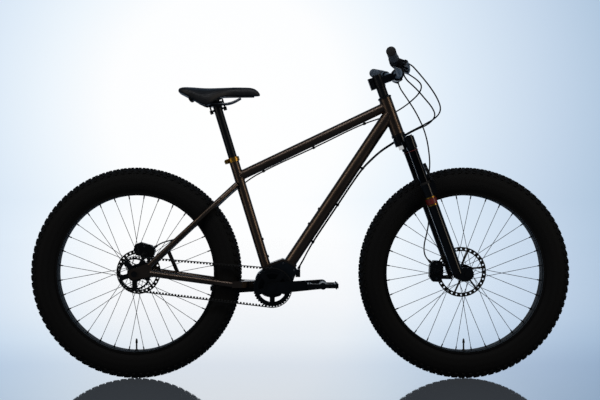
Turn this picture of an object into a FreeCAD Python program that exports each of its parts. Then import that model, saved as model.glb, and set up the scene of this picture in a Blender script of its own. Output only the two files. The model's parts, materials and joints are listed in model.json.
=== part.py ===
import FreeCAD, Part
import math
import os
import re

import Sketcher
from FreeCAD import Placement, Rotation, Vector

# Driving dimensions: millimetres, degrees where the name says angle, and plain counts
SIZES = {
    # Layout of the bicycle
    "wheelbase": 1164,
    "tyre_od": 750,
    "head_angle": 70,
    "fork_offset": 51,
    "crown_height": 531,
    "lower_stack": 13,
    "head_tube_length": 135,
    "seat_angle": 73,
    "crank_setback": 483,
    "crank_drop": 49,
    # Fits
    "slip_fit": 0.05,
    "small_gap": 0.3,
    "cut_over": 60,
    "sew_gap": 0.005,
    # Frame tubes
    "head_tube_od": 45,
    "head_tube_wall": 1.5,
    "top_tube_od": 34,
    "down_tube_od": 44,
    "main_tube_wall": 1.2,
    "seat_tube_od": 35,
    "seat_tube_top": 478,
    "top_tube_at_seat": 409,
    "top_tube_below_head_top": 28,
    "down_tube_below_head_top": 55,
    "down_tube_ahead_crank": 73,
    "down_tube_above_crank": 100,
    "chain_stay_od": 22,
    "seat_stay_od": 19,
    "stay_wall": 1.1,
    "stay_yoke_spread": 130,
    "seat_stay_spread_at_tyre": 126,
    "seat_stay_rise": 689,
    "seat_stay_ahead": 356,
    "brace_od": 14,
    "brace_foot_ahead": 149,
    "brace_head_ahead": 114,
    "dropout_spread": 170,
    "dropout_thickness": 7,
    "dropout_length": 60,
    "dropout_eye_od": 40,
    "yoke_height": 22,
    "yoke_above_crank": 11,
    "yoke_length": 81,
    "bracket_width": 76,
    # Gearbox, cranks and belt drive
    "gearbox_length": 154,
    "gearbox_height": 128,
    "gearbox_width": 100,
    "gearbox_lid_thickness": 4,
    "gearbox_lid_od": 92,
    "inlet_length": 16,
    "inlet_height": 26,
    "spindle_od": 25,
    "spindle_length": 196,
    "crank_length": 174,
    "crank_rise_angle": 4.75,
    "crank_boss_od": 40,
    "crank_eye_od": 33,
    "crank_thickness": 14,
    "crank_spread": 168,
    "crank_cap_od": 26,
    "crank_cap_thickness": 3,
    "pedal_axle_od": 14,
    "pedal_length": 105,
    "pedal_width": 98,
    "pedal_thickness": 15,
    "pedal_rail": 13,
    "pedal_sleeve_od": 24,
    "pedal_offset": 6,
    "pedal_pin_od": 4,
    "pedal_pin_height": 4,
    "belt_pitch": 11,
    "front_teeth": 39,
    "rear_teeth": 34,
    "belt_width": 12,
    "belt_line": 66,
    "belt_above_pitch": 2,
    "belt_below_pitch": 0.5,
    "tooth_gap_od": 6,
    "pulley_ring": 9,
    "pulley_hub_od": 62,
    "pulley_arm_width": 16,
    "pulley_arms": 5,
    "pulley_sleeve_od": 44,
    "driver_od": 40,
    # Wheels
    "tyre_width": 98,
    "tyre_wall": 3,
    "tyre_widest_od": 640,
    "tread_drop": 17,
    "tread_base_width": 82,
    "tread_depth": 6,
    "bead_seat_od": 559,
    "bead_width": 6,
    "rim_width": 80,
    "rim_bore": 551,
    "rim_wall": 2.2,
    "rim_flange": 6,
    "rim_well_width": 44,
    "rim_slope": 8,
    "valve_od": 6,
    "valve_length": 38,
    "spokes_per_side": 16,
    "spoke_crosses": 3,
    "spoke_od": 2,
    "spoke_rim_offset": 9,
    "nipple_od": 4.4,
    "nipple_length": 12,
    "hub_flange_spread": 72,
    "hub_flange_od": 60,
    "hub_flange_thickness": 3.4,
    "hub_hole_circle": 50,
    "hub_barrel_od": 36,
    "hub_bore": 15,
    "hub_end_od": 24,
    "bearing_od": 28,
    "bearing_width": 8,
    "rear_axle_od": 12,
    "rear_hub_right": 48,
    "front_axle_od": 15,
    "front_hub_spread": 150,
    "axle_head_od": 20,
    "axle_head_length": 6,
    # Disc brakes
    "front_rotor_od": 180,
    "rear_rotor_od": 160,
    "rotor_thickness": 2,
    "rotor_track": 15,
    "rotor_centre_od": 56,
    "rotor_centre_width": 14,
    "rotor_arms": 6,
    "rotor_arm_width": 7,
    "rotor_hole_od": 6,
    "rotor_holes": 30,
    "rotor_bolt_od": 8,
    "rotor_bolt_height": 1.8,
    "front_rotor_line": 60,
    "rear_rotor_line": 68,
    "caliper_half": 13,
    "caliper_length": 76,
    "caliper_in": 16,
    "caliper_out": 33,
    "caliper_bridge": 18,
    "caliper_reach": 5,
    "caliper_cap_od": 24,
    "caliper_cap_height": 3,
    "front_caliper_angle": 178,
    "rear_caliper_angle": 74,
    "pad_gap": 0.4,
    "pad_thickness": 4.5,
    "pad_length": 30,
    "pad_height": 14,
    "mount_arm_od": 12,
    # Headset, fork and steering
    "steerer_od": 28.6,
    "steerer_wall": 2.3,
    "steerer_sink": 22,
    "steerer_above_head": 84,
    "cup_od": 49,
    "cup_bore": 31,
    "upper_cup_height": 9,
    "headset_bearing_height": 7,
    "spacer_od": 34,
    "spacer_height": 8.3,
    "spacer_count": 4,
    "top_cap_height": 4,
    "leg_spread": 164,
    "leg_ahead": 22,
    "crown_socket_od": 38,
    "crown_socket_length": 44,
    "crown_top_drop": 10,
    "crown_width": 34,
    "crown_neck_od": 46,
    "crown_neck_height": 30,
    "crown_race_od": 42,
    "stanchion_od": 32,
    "stanchion_wall": 2,
    "stanchion_overlap": 135,
    "cap_od": 30,
    "cap_height": 5,
    "lower_top": 345,
    "lower_od": 38,
    "lower_foot": 12,
    "lower_foot_od": 46,
    "wiper_height": 8,
    "arch_ahead": 43.5,
    "arch_thickness": 9,
    "arch_rise": 70,
    "arch_band": 22,
    "arch_foot": 40,
    "stem_length": 69,
    "stem_clamp_od": 38,
    "stem_height": 42,
    "stem_beam_width": 30,
    "stem_beam_height": 26,
    "bar_clamp_od": 44,
    "bar_clamp_width": 46,
    "faceplate_gap": 2,
    "stem_bolt_od": 8,
    "stem_bolt_length": 9,
    "stem_ear": 16,
    "stem_ear_width": 20,
    "bar_od": 22.2,
    "bar_centre_od": 31.8,
    "bar_centre_width": 70,
    "bar_taper": 28,
    "bar_width": 740,
    "bar_bend_at": 76,
    "bar_bend_radius": 90,
    "bar_sweep_angle": 10.5,
    "bar_rise_angle": 8.4,
    "bar_wall": 2.2,
    # Controls on the bar
    "grip_od": 32,
    "grip_length": 132,
    "grip_rib_depth": 1.5,
    "grip_ribs": 11,
    "grip_cap": 4,
    "short_grip_length": 92,
    "shifter_od": 36,
    "shifter_length": 42,
    "shifter_rib_depth": 2,
    "shifter_ribs": 18,
    "housing_od": 38,
    "housing_length": 16,
    "housing_box": 20,
    "housing_box_height": 32,
    "outlet_spread": 23,
    "lever_clamp_from_end": 172,
    "lever_clamp_od": 31,
    "lever_clamp_width": 15,
    "lever_drop_angle": 22,
    "cylinder_ahead": 27,
    "cylinder_od": 19,
    "cylinder_inwards": 43.4,
    "cylinder_outwards": 12.4,
    "lever_pivot_ahead": 45,
    "lever_pivot_out": 14,
    "lever_pivot_od": 6,
    "lever_root_od": 15,
    "lever_tip_od": 11,
    "lever_span": 82,
    "lever_height": 10,
    # Seat
    "seatpost_od": 30.9,
    "seatpost_wall": 2.5,
    "seatpost_bottom": 368,
    "seatpost_top": 655,
    "rail_clamp_at": 679,
    "clamp_length": 40,
    "clamp_width": 56,
    "clamp_plate": 7,
    "clamp_bolt_od": 6,
    "clamp_bolt_head_od": 12,
    "clamp_bolt_length": 36,
    "clamp_bolt_spread": 50,
    "rail_od": 7,
    "rail_spread": 44,
    "saddle_length": 290,
    "saddle_width": 142,
    "saddle_depth": 68,
    "saddle_behind_clamp": 134,
    "saddle_below_rails": 9,
    "saddle_skirt": 7,
    "saddle_base_height": 37,
    "saddle_base_thickness": 4,
    "collar_od": 43,
    "collar_height": 16,
    "collar_ear": 9,
    "collar_slot": 2,
    "collar_lever_gap": 3,
    "collar_lever_width": 6,
    "collar_lever_height": 14,
    "collar_cam_od": 14,
    "collar_bolt_od": 6,
    "collar_wrap_angle": 60,
    # Hoses, cables and small fittings
    "hose_od": 5,
    "cable_od": 5,
    "clip_od": 9,
    "clip_length": 9,
    "clip_foot_od": 7,
    "boss_bolt_od": 9,
    "boss_bolt_height": 4,
    "boss_bolt_sink": 1,
    "boss_spacing": 64,
    "down_boss_at": 135,
    "seat_boss_at": 108,
}

# Corner places as shares of the size that each outline follows
CASE_SHARES = [
    (-0.39, -0.06), (-0.18, -0.235), (0, -0.297), (0.18, -0.235), (0.30, -0.08), (0.48, 0.18),
    (0.526, 0.328),
    (0.571, 0.477), (0.54, 0.547), (0.37, 0.664), (0.247, 0.727), (-0.02, 0.602), (-0.195, 0.516),
    (-0.34, 0.37), (-0.39, 0.25),
]
BRACKET_SHARES = [
    (0.54, 0.547), (0.37, 0.664), (0.247, 0.727), (-0.02, 0.602), (-0.195, 0.516),
    (-0.29, 0.52), (-0.04, 0.66), (0.24, 0.785), (0.39, 0.72), (0.565, 0.6),
]
YOKE_SHARES = [
    (0, 0.585), (0.43, 0.555), (0.74, 0.37), (1, 0.31), (1, -0.31), (0.74, -0.37), (0.43, -0.555),
    (0, -0.585),
    (0, -0.415), (0.2, -0.4), (0.52, -0.26), (0.52, 0.26), (0.2, 0.4), (0, 0.415),
]
DROPOUT_SHARES = [(1, -0.14), (1, 0.23), (1.05, 0.42), (0.82, 0.64)]
TREAD_ROW_SHARES = [(-1, -0.72), (-0.6, -0.25), (-0.13, 0.13), (0.25, 0.6), (0.72, 1)]
# Saddle stations from tail to nose: place, half width, top and skirt edge
SADDLE_SHARES = [
    (0.0, 0.52, 0.86, 0.72), (0.05, 0.82, 1.0, 0.62), (0.14, 0.98, 0.985, 0.42), (0.27, 1.0, 0.94, 0.08),
    (0.37, 0.95, 0.925, 0.02), (0.47, 0.76, 0.935, 0.30), (0.585, 0.49, 0.955, 0.50),
    (0.72, 0.35, 0.98, 0.545),
    (0.84, 0.30, 0.99, 0.545), (0.925, 0.27, 0.935, 0.545), (0.97, 0.22, 0.81, 0.545),
    (1.0, 0.12, 0.62, 0.545),
]
SADDLE_EDGE_SHARE = 0.72
SADDLE_CROWN_SHARE = 0.86
SADDLE_WAIST_SHARE = 0.94
RADIUS_SHARE = 0.45
SADDLE_BELLY_SHARE = 0.35
# Rail stops from tail to nose: place, rise to the base and sideways spread
RAIL_SHARES = [(0.15, 1, 1), (0.26, 0.3, 1), (0.34, 0, 1), (0.6, 0, 1), (0.68, 0.35, 1), (0.76, 1, 0.6)]
CLAMP_TOP_SHARE = 0.94
STAY_FOOT_SHARE = 0.4545
STAY_KNEE_SHARE = 0.36
STAY_SHOULDER_SHARE = 0.71
LOWER_WALL_SHARE = 0.48
UPPER_WALL_SHARE = 0.62
INNER_SHOULDER_SHARE = 0.8
SPOKE_PHASE_SHARES = {-1: 0.25, 1: 0.75}
ROTOR_SLANT_SHARE = 0.35
# Caliper outline: place along it and half its length there
CALIPER_SHARES = [("-caliper_in", 0.33), ("0 * caliper_out", 0.5), ("0.6 * caliper_out", 0.5),
                  ("caliper_out", 0.28)]
MOUNT_ROOT_SHARE = 0.9
FRONT_MOUNT_SHARES = (-0.3, 0.3)
REAR_MOUNT_SHARES = (-0.3, 0)
CROWN_BEAM_SHARE = 0.55
ARCH_SPRING_SHARE = 0.12
ARCH_SHOULDER_SHARE = 0.1
ARCH_INNER_SHARE = 0.55
ARCH_OUTER_SHARE = 0.72
ARCH_FOOT_SHARE = 0.75
LEVER_EAR_SHARE = 0.8

# Routes of the hoses and cables, points along their middle line in millimetres
GEAR_CABLE_UPPER = [
    (371, -237, 1092), (392, -222, 1072), (414, -199, 1051.5), (445, -166, 1020.5), (474, -128, 985),
    (492, -88, 951),
    (481, -48, 925), (440, -10, 901.5), (395, 22, 879), (366, 40, 862), (337, 49, 842),
    (292, 36, 813), (254, 16, 780), (222, 8, 748), (178, 7, 684), (134, 8, 617), (90, 7, 552), (46, 8, 486),
    (26, 8, 450), (12, 9, 422), (0, 10, 402), (-5, 10, 388.5),
]
GEAR_CABLE_LOWER = [
    (346, -229, 1058), (357, -215, 1042.5), (377, -196, 1028), (401, -170, 1010), (428, -138, 985),
    (458, -104, 957), (475.5, -68, 929), (455, -28, 902), (418, 0, 887), (380, 24, 867),
    (334, 38, 836), (288, 25, 807), (252, 8, 774), (222, 1, 745), (178, 0, 682), (134, 1, 615),
    (90, 0, 550), (46, 1, 484), (24, 1, 446), (9, 2, 416), (-1, 2, 400), (-6, 2, 388.5),
]
REAR_BRAKE_HOSE = [
    (358.5, -139, 1077.5), (379, -124, 1067), (404, -108, 1053), (425, -86, 1035), (419, -62, 1010),
    (391, -33, 982), (363, 2, 961), (326, 32, 940), (280, 22, 924), (230, 7, 907), (170, 6, 880),
    (110, 7, 850), (49, 6, 820.5), (-11, 7, 793), (-71, 6, 766), (-130, 7, 737), (-166, 18, 718),
    (-200, 32, 694), (-238, 48, 664), (-282, 70, 624), (-334, 81, 574), (-385, 84, 531), (-428, 88, 503),
    (-457, 87, 490), (-484, 84, 484), (-508, 81, 475), (-525.6, 80.7, 462.3),
]
FRONT_BRAKE_HOSE = [
    (358.9, 136.5, 1076.5), (366, 114, 1043), (379, 97, 1020), (398, 84, 989), (417, 74, 957), (434, 64, 922),
    (449, 55, 884.6), (459, 49, 845), (465, 47, 803), (468, 48, 766), (466, 50.5, 733), (452, 50.5, 706),
    (447, 56, 674), (453, 59, 638), (462, 59, 598), (466, 60, 556), (459, 63, 514), (450, 68, 478),
    (449, 71, 446), (458.5, 72.7, 422), (473.7, 72.7, 409.1),
]
CABLE_CLIP_STOPS = [14, 16, 18]
LOWER_CABLE_CLIP_STOPS = [14, 16, 18]
HOSE_CLIP_STOPS = [10, 13, 16]

WORD = re.compile(r"[a-z][a-z0-9_]*")
UP = Vector(0, 0, 1)
LEFT = Vector(0, 1, 0)
AHEAD = Vector(1, 0, 0)
NODES = []

doc = FreeCAD.newDocument("FatTyreBicycle")
sheet = doc.addObject("Spreadsheet::Sheet", "Sizes")
for row, (alias, value) in enumerate(SIZES.items(), start=1):
    sheet.set(f"A{row}", alias)
    sheet.set(f"B{row}", str(value))
    sheet.setAlias(f"B{row}", alias)
doc.recompute()


def mm(formula):
    """Value of a formula over the sheet's names."""
    worth = sheet.evalExpression(str(formula))
    return float(getattr(worth, "Value", worth))


def bind(piece, prop, formula):
    """Tie a property to a formula over the sheet's names."""
    scoped = WORD.sub(lambda word: f"Sizes.{word[0]}" if word[0] in SIZES else word[0], str(formula))
    piece.setExpression(prop, scoped)


def spot(x, y, z):
    return Vector(mm(x), mm(y), mm(z))


# Reference frames of the bicycle: axles, crank, steering axis and seat tube axis
AXLE_HEIGHT = "tyre_od / 2"
REAR_AXLE = spot("-wheelbase / 2", 0, AXLE_HEIGHT)
FRONT_AXLE = spot("wheelbase / 2", 0, AXLE_HEIGHT)
CRANK = REAR_AXLE + spot("crank_setback", 0, "-crank_drop")
STEER_TURN = Rotation(LEFT, mm("head_angle - 90"))
STEERING = Placement(FRONT_AXLE - STEER_TURN.multVec(spot("fork_offset", 0, 0)), STEER_TURN)
SEATING = Placement(CRANK, Rotation(LEFT, mm("seat_angle - 90")))
TO_SIDE = Rotation(AHEAD, 90)
HEAD_BOTTOM = "(crown_height + lower_stack)"
HEAD_TOP = "(crown_height + lower_stack + head_tube_length)"
CUP_TOP = f"({HEAD_TOP} + upper_cup_height)"
STEM_FOOT = f"({CUP_TOP} + spacer_height * spacer_count)"
STEM_AT = f"({STEM_FOOT} + stem_height / 2)"
BAR_ARM = "((bar_width / 2 - bar_bend_at) * sqrt(1 + tan(bar_sweep_angle) ^ 2 + tan(bar_rise_angle) ^ 2))"
LEVER_AT = f"({BAR_ARM} - lever_clamp_from_end)"
SHIFTER_AT = f"({BAR_ARM} - short_grip_length - shifter_length - 2 * small_gap)"


def steer(along, ahead=0, side=0):
    """Point in the steering frame, measured up the steering axis from the height of the axle."""
    return STEERING.multVec(spot(ahead, side, along))


def seat(along, ahead=0, side=0):
    """Point in the seat tube frame, measured up the seat tube from the crank."""
    return SEATING.multVec(spot(ahead, side, along))


def facing(place, direction):
    return Placement(place, Rotation(UP, direction))


# Plain solids and booleans
def rod(name, start, end, radius):
    piece = doc.addObject("Part::Cylinder", name)
    bind(piece, "Radius", radius)
    piece.Height = (end - start).Length
    piece.Placement = facing(start, end - start)
    return piece


def cone(name, start, end, start_radius, end_radius):
    piece = doc.addObject("Part::Cone", name)
    bind(piece, "Radius1", start_radius)
    bind(piece, "Radius2", end_radius)
    piece.Height = (end - start).Length
    piece.Placement = facing(start, end - start)
    return piece


def block(name, middle, length, width, height):
    """Box centred on the given placement."""
    piece = doc.addObject("Part::Box", name)
    bind(piece, "Length", length)
    bind(piece, "Width", width)
    bind(piece, "Height", height)
    corner = spot(f"-({length}) / 2", f"-({width}) / 2", f"-({height}) / 2")
    piece.Placement = middle.multiply(Placement(corner, Rotation()))
    return piece


def cut(name, base, *tools):
    tool = tools[0] if len(tools) == 1 else fuse(name + "Tools", *tools)
    piece = doc.addObject("Part::Cut", name)
    piece.Base = base
    piece.Tool = tool
    return piece


def fuse(name, *pieces):
    piece = doc.addObject("Part::MultiFuse", name)
    piece.Shapes = list(pieces)
    return piece


def common(name, base, tool):
    piece = doc.addObject("Part::Common", name)
    piece.Base = base
    piece.Tool = tool
    return piece


def group(name, *pieces):
    """Separate solids that share one node."""
    piece = doc.addObject("Part::Compound", name)
    piece.Links = list(pieces)
    return piece


def mirrored(name, source):
    """Copy on the other side of the bicycle's middle plane."""
    piece = doc.addObject("Part::Mirroring", name)
    piece.Source = source
    piece.Normal = LEFT
    return piece


def tube(name, start, end, outer, inner):
    run = (end - start).normalize() * mm("cut_over")
    return cut(name, rod(name + "Outer", start, end, outer),
               rod(name + "Bore", start - run, end + run, inner))


def node(label, piece):
    piece.Label = label
    NODES.append(piece)
    return piece


# Sketches whose corners and radii are bound to the sheet
def arc_between(start, end, radius, turn):
    """Short arc from start to end, bending left where turn is positive."""
    chord = end - start
    left = Vector(-chord.y, chord.x, 0).normalize()
    height = math.sqrt(max(radius ** 2 - (chord.Length / 2) ** 2, 0))
    centre = (start + end) / 2 + left * height * turn
    first, last = (start, end) if turn > 0 else (end, start)
    begin = math.atan2(first.y - centre.y, first.x - centre.x)
    finish = math.atan2(last.y - centre.y, last.x - centre.x)
    if finish < begin:
        finish += 2 * math.pi
    return Part.ArcOfCircle(Part.Circle(centre, UP, radius), begin, finish)


def pin_point(sketch, geometry, end, x, y):
    for axis, kind, formula in ((-2, "DistanceX", x), (-1, "DistanceY", y)):
        if str(formula) == "0":
            sketch.addConstraint(Sketcher.Constraint("PointOnObject", geometry, end, axis))
            continue
        at = sketch.addConstraint(Sketcher.Constraint(kind, -1, 1, geometry, end, mm(formula)))
        bind(sketch, f"Constraints[{at}]", formula)


def pin_radius(sketch, geometry, radius):
    at = sketch.addConstraint(Sketcher.Constraint("Radius", geometry, mm(radius)))
    bind(sketch, f"Constraints[{at}]", radius)


def draw_circle(sketch, x, y, radius):
    at = sketch.addGeometry(Part.Circle(spot(x, y, 0), UP, mm(radius)), False)
    pin_point(sketch, at, 3, x, y)
    pin_radius(sketch, at, radius)


def draw_loop(sketch, corners):
    """Closed loop of corners (x, y); a corner (x, y, radius, turn) leaves by an arc."""
    count = len(corners)
    spots = [spot(corner[0], corner[1], 0) for corner in corners]
    edges = []
    for index, corner in enumerate(corners):
        start, end = spots[index], spots[(index + 1) % count]
        if len(corner) == 2:
            at = sketch.addGeometry(Part.LineSegment(start, end), False)
            edges.append((at, 1, 2))
        else:
            at = sketch.addGeometry(arc_between(start, end, mm(corner[2]), corner[3]), False)
            edges.append((at, 1, 2) if corner[3] > 0 else (at, 2, 1))
    for index, (at, begin, finish) in enumerate(edges):
        after = edges[(index + 1) % count]
        sketch.addConstraint(Sketcher.Constraint("Coincident", at, finish, after[0], after[1]))
        pin_point(sketch, at, begin, corners[index][0], corners[index][1])
        if len(corners[index]) > 2:
            pin_radius(sketch, at, corners[index][2])


def sketch_on(body, role, loops):
    sketch = body.newObject("Sketcher::SketchObject", body.Name + "Sketch")
    plane = [feature for feature in body.Origin.OriginFeatures if feature.Role == role][0]
    sketch.AttachmentSupport = [(plane, "")]
    sketch.MapMode = "FlatFace"
    for loop in loops:
        if loop[0] == "circle":
            draw_circle(sketch, *loop[1:])
        else:
            draw_loop(sketch, loop)
    return sketch


def new_body(name, place):
    body = doc.addObject("PartDesign::Body", name)
    body.Placement = place
    return body


def pad(body, loops, depth):
    feature = body.newObject("PartDesign::Pad", body.Name + "Pad")
    feature.Profile = sketch_on(body, "XY_Plane", loops)
    bind(feature, "Length", depth)
    return feature


def plate(name, place, loops, depth):
    """Flat piece of the given outline, thick along the placement's own height."""
    body = new_body(name, place)
    pad(body, loops, depth)
    return body


def turned(name, place, profile):
    """Turned piece; the profile gives radius and place along the axis."""
    body = new_body(name, place)
    spin = body.newObject("PartDesign::Revolution", name + "Spin")
    spin.Profile = sketch_on(body, "XZ_Plane", [profile])
    spin.ReferenceAxis = (spin.Profile[0], ["V_Axis"])
    return body


def ring_profile(inner, outer, start, end):
    return [(inner, start), (outer, start), (outer, end), (inner, end)]


def pattern(body, feature, count):
    """Repeat a feature evenly round the body's own upright axis."""
    ring = body.newObject("PartDesign::PolarPattern", feature.Name + "Ring")
    ring.Originals = [feature]
    axis = [item for item in body.Origin.OriginFeatures if item.Role == "Z_Axis"][0]
    ring.Axis = (axis, [""])
    ring.Angle = 360
    bind(ring, "Occurrences", count)
    body.Tip = ring
    return ring


def holes(body, loops, count):
    """Cut the loops upwards through the body and repeat them round its axis."""
    pocket = body.newObject("PartDesign::Pocket", body.Name + "Pocket")
    pocket.Profile = sketch_on(body, "XY_Plane", loops)
    pocket.Reversed = True
    bind(pocket, "Length", "cut_over")
    return pattern(body, pocket, count)


def link_loop(length, start_od, end_od):
    """Outline round two circles and their common tangents, the first circle at the origin."""
    big, small = f"({start_od} / 2)", f"({end_od} / 2)"
    lean = f"(({big} - {small}) / ({length}))"
    rise = f"sqrt(1 - {lean} * {lean})"
    return [
        (f"-{big}", 0, big, 1),
        (f"{big} * {lean}", f"-{big} * {rise}"),
        (f"{length} + {small} * {lean}", f"-{small} * {rise}", small, 1),
        (f"{length} + {small}", 0, small, 1),
        (f"{length} + {small} * {lean}", f"{small} * {rise}"),
        (f"{big} * {lean}", f"{big} * {rise}", big, 1),
    ]


def side_plate(name, middle, near, loops, depth):
    """Plate drawn in side view about a point, from the given y towards the drive side."""
    return plate(name, Placement(Vector(middle.x, near, middle.z), TO_SIDE), loops, depth)


# Bent tubes, hoses and cables along straight runs joined by tangent arcs
def bent_path(points):
    """Wire through the points with the largest arcs that the runs allow, and its radii."""
    edges, radii = [], []
    at = points[0]
    for before, corner, after in zip(points, points[1:], points[2:]):
        back, on = before - corner, after - corner
        half_turn = (math.pi - back.getAngle(on)) / 2
        reach = RADIUS_SHARE * min(back.Length, on.Length)
        radius = reach / math.tan(half_turn)
        start = corner + back.normalize() * reach
        end = corner + on.normalize() * reach
        inward = (back + on).normalize()
        middle = corner + inward * radius * (1 / math.cos(half_turn) - 1)
        edges.append(Part.LineSegment(at, start).toShape())
        edges.append(Part.Arc(start, middle, end).toShape())
        radii.append(radius)
        at = end
    edges.append(Part.LineSegment(at, points[-1]).toShape())
    return Part.Wire(edges), radii


def swept_round(path, radius):
    start = path.Edges[0].Vertexes[0].Point
    heading = path.Edges[0].tangentAt(path.Edges[0].FirstParameter)
    ring = Part.Wire(Part.Circle(start, heading, radius).toShape())
    return path.makePipeShell([ring], True, False)


def bent(name, points, outer, inner=None):
    """Round bar or tube bent along the points; its volume is compared with section times length."""
    path, radii = bent_path(points)
    solid = swept_round(path, mm(outer))
    area = mm(outer) ** 2
    if inner is not None:
        solid = solid.cut(swept_round(path, mm(inner)))
        area -= mm(inner) ** 2
    fullness = solid.Volume / (math.pi * area * path.Length)
    print(name, "length", round(path.Length, 1), "least radius", round(min(radii), 1), "fullness",
          round(fullness, 4))
    piece = doc.addObject("Part::Feature", name)
    piece.Shape = solid
    return piece


def route(points):
    return [Vector(*point) for point in points]


# Frame
def frame_tubes():
    top_seat = seat("top_tube_at_seat")
    top_head = steer(f"{HEAD_TOP} - top_tube_below_head_top")
    down_foot, down_head = down_tube_ends()
    down_run = (down_foot - down_head).normalize() * mm("cut_over")
    head_core = rod("HeadCore", steer(HEAD_BOTTOM), steer(HEAD_TOP), "head_tube_od / 2")
    seat_core = rod("SeatCore", seat(0), seat("seat_tube_top"), "seat_tube_od / 2")
    head = tube("HeadTube", steer(HEAD_BOTTOM), steer(HEAD_TOP), "head_tube_od / 2",
                "head_tube_od / 2 - head_tube_wall")
    top = tube("TopTube", top_seat, top_head, "top_tube_od / 2", "top_tube_od / 2 - main_tube_wall")
    down = tube("DownTube", down_foot + down_run, down_head, "down_tube_od / 2",
                "down_tube_od / 2 - main_tube_wall")
    seat_pipe = tube("SeatTube", seat(0), seat("seat_tube_top"), "seat_tube_od / 2",
                     "seatpost_od / 2 + slip_fit")
    node("head_tube", head)
    top_mitred = cut("TopTubeMitred", top, head_core, seat_core)
    down_mitred = cut("DownTubeMitred", down, head_core, gearbox_block("DownTubeSeat"),
                      top_core(top_seat, top_head))
    node("top_tube", top_mitred)
    node("down_tube", down_mitred)
    node("seat_tube", cut("SeatTubeMitred", seat_pipe, gearbox_block("SeatTubeSeat")))
    return seat_core


def top_core(start, end):
    return rod("TopCore", start, end, "top_tube_od / 2")


def gearbox_block(name):
    """Space taken by the gearbox and its bracket, which the tubes end on."""
    corners = BRACKET_SHARES[5:] + [(BRACKET_SHARES[9][0], CASE_SHARES[2][1]),
                                    (BRACKET_SHARES[5][0], CASE_SHARES[2][1])]
    loop = [(f"{x} * gearbox_length", f"{z} * gearbox_height") for x, z in reversed(corners)]
    return side_plate(name, CRANK, mm("gearbox_width / 2"), [loop], "gearbox_width")


def case_loop():
    return [(f"{x} * gearbox_length" if x else 0, f"{z} * gearbox_height") for x, z in CASE_SHARES]


def gearbox():
    bore = ("circle", 0, 0, "spindle_od / 2 + slip_fit")
    case = side_plate("GearboxCase", CRANK, mm("gearbox_width / 2 - gearbox_lid_thickness"),
                      [case_loop(), bore],
                      "gearbox_width - 2 * gearbox_lid_thickness")
    lids = []
    for side, near in (("Left", "gearbox_width / 2"), ("Right",
                                                       "gearbox_lid_thickness - gearbox_width / 2")):
        lids.append(side_plate(f"GearboxLid{side}", CRANK, mm(near),
                               [link_loop("gearbox_lid_od / 2", "0.74 * gearbox_lid_od",
                                          "0.7 * gearbox_lid_od"), bore],
                               "gearbox_lid_thickness"))
    for lid in lids:
        lid.Placement = Placement(lid.Placement.Base, Rotation(LEFT,
                                                               -mm("90 - seat_angle / 2")).multiply(TO_SIDE))
    inlet_share = CASE_SHARES[8]
    inlet_middle = CRANK + spot(f"{inlet_share[0]} * gearbox_length + inlet_length / 2", 0,
                                f"{CASE_SHARES[7][1]} * gearbox_height - inlet_height / 2")
    inlet = block("CableInlet", Placement(inlet_middle, Rotation()), "inlet_length", "2 * inlet_height",
                  "inlet_height")
    inlet_clear = cut("CableInletFitted", inlet, side_plate("CaseCore", CRANK, mm("gearbox_width / 2"),
                                                            [case_loop()],
                                                            "gearbox_width"))
    node("gearbox_case", group("Gearbox", case, *lids, inlet_clear))


def bracket_and_yoke():
    loop = [(f"{x} * gearbox_length", f"{z} * gearbox_height") for x, z in reversed(BRACKET_SHARES)]
    bracket = side_plate("GearboxBracket", CRANK, mm("bracket_width / 2"), [loop], "bracket_width")
    yoke_loop = [(f"{x} * yoke_length" if x else 0, f"{y} * stay_yoke_spread") for x,
                 y in reversed(YOKE_SHARES)]
    foot = yoke_back() - spot(0, 0, "yoke_height / 2")
    yoke = plate("StayYoke", Placement(foot, Rotation()), [yoke_loop], "yoke_height")
    node("gearbox_bracket", group("GearboxCarrier", bracket, yoke))


def yoke_back():
    """Middle of the yoke's rear face line, where the chain stays end."""
    return CRANK + spot(f"{CASE_SHARES[0][0]} * gearbox_length - yoke_length", 0, "yoke_above_crank")


def dropout(side):
    near = mm("dropout_spread / 2") + mm("dropout_thickness") if side > 0 else -mm("dropout_spread / 2")
    eye = "dropout_eye_od / 2"
    loop = [(0, f"-{eye}")]
    loop += [(f"{x} * dropout_length", f"{z} * dropout_length") for x, z in DROPOUT_SHARES]
    loop += [(0, eye, eye, 1), (f"-{eye}", 0, eye, 1)]
    bore = ("circle", 0, 0, "rear_axle_od / 2 + slip_fit")
    return side_plate("Dropout", REAR_AXLE, near, [loop, bore], "dropout_thickness")


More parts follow.
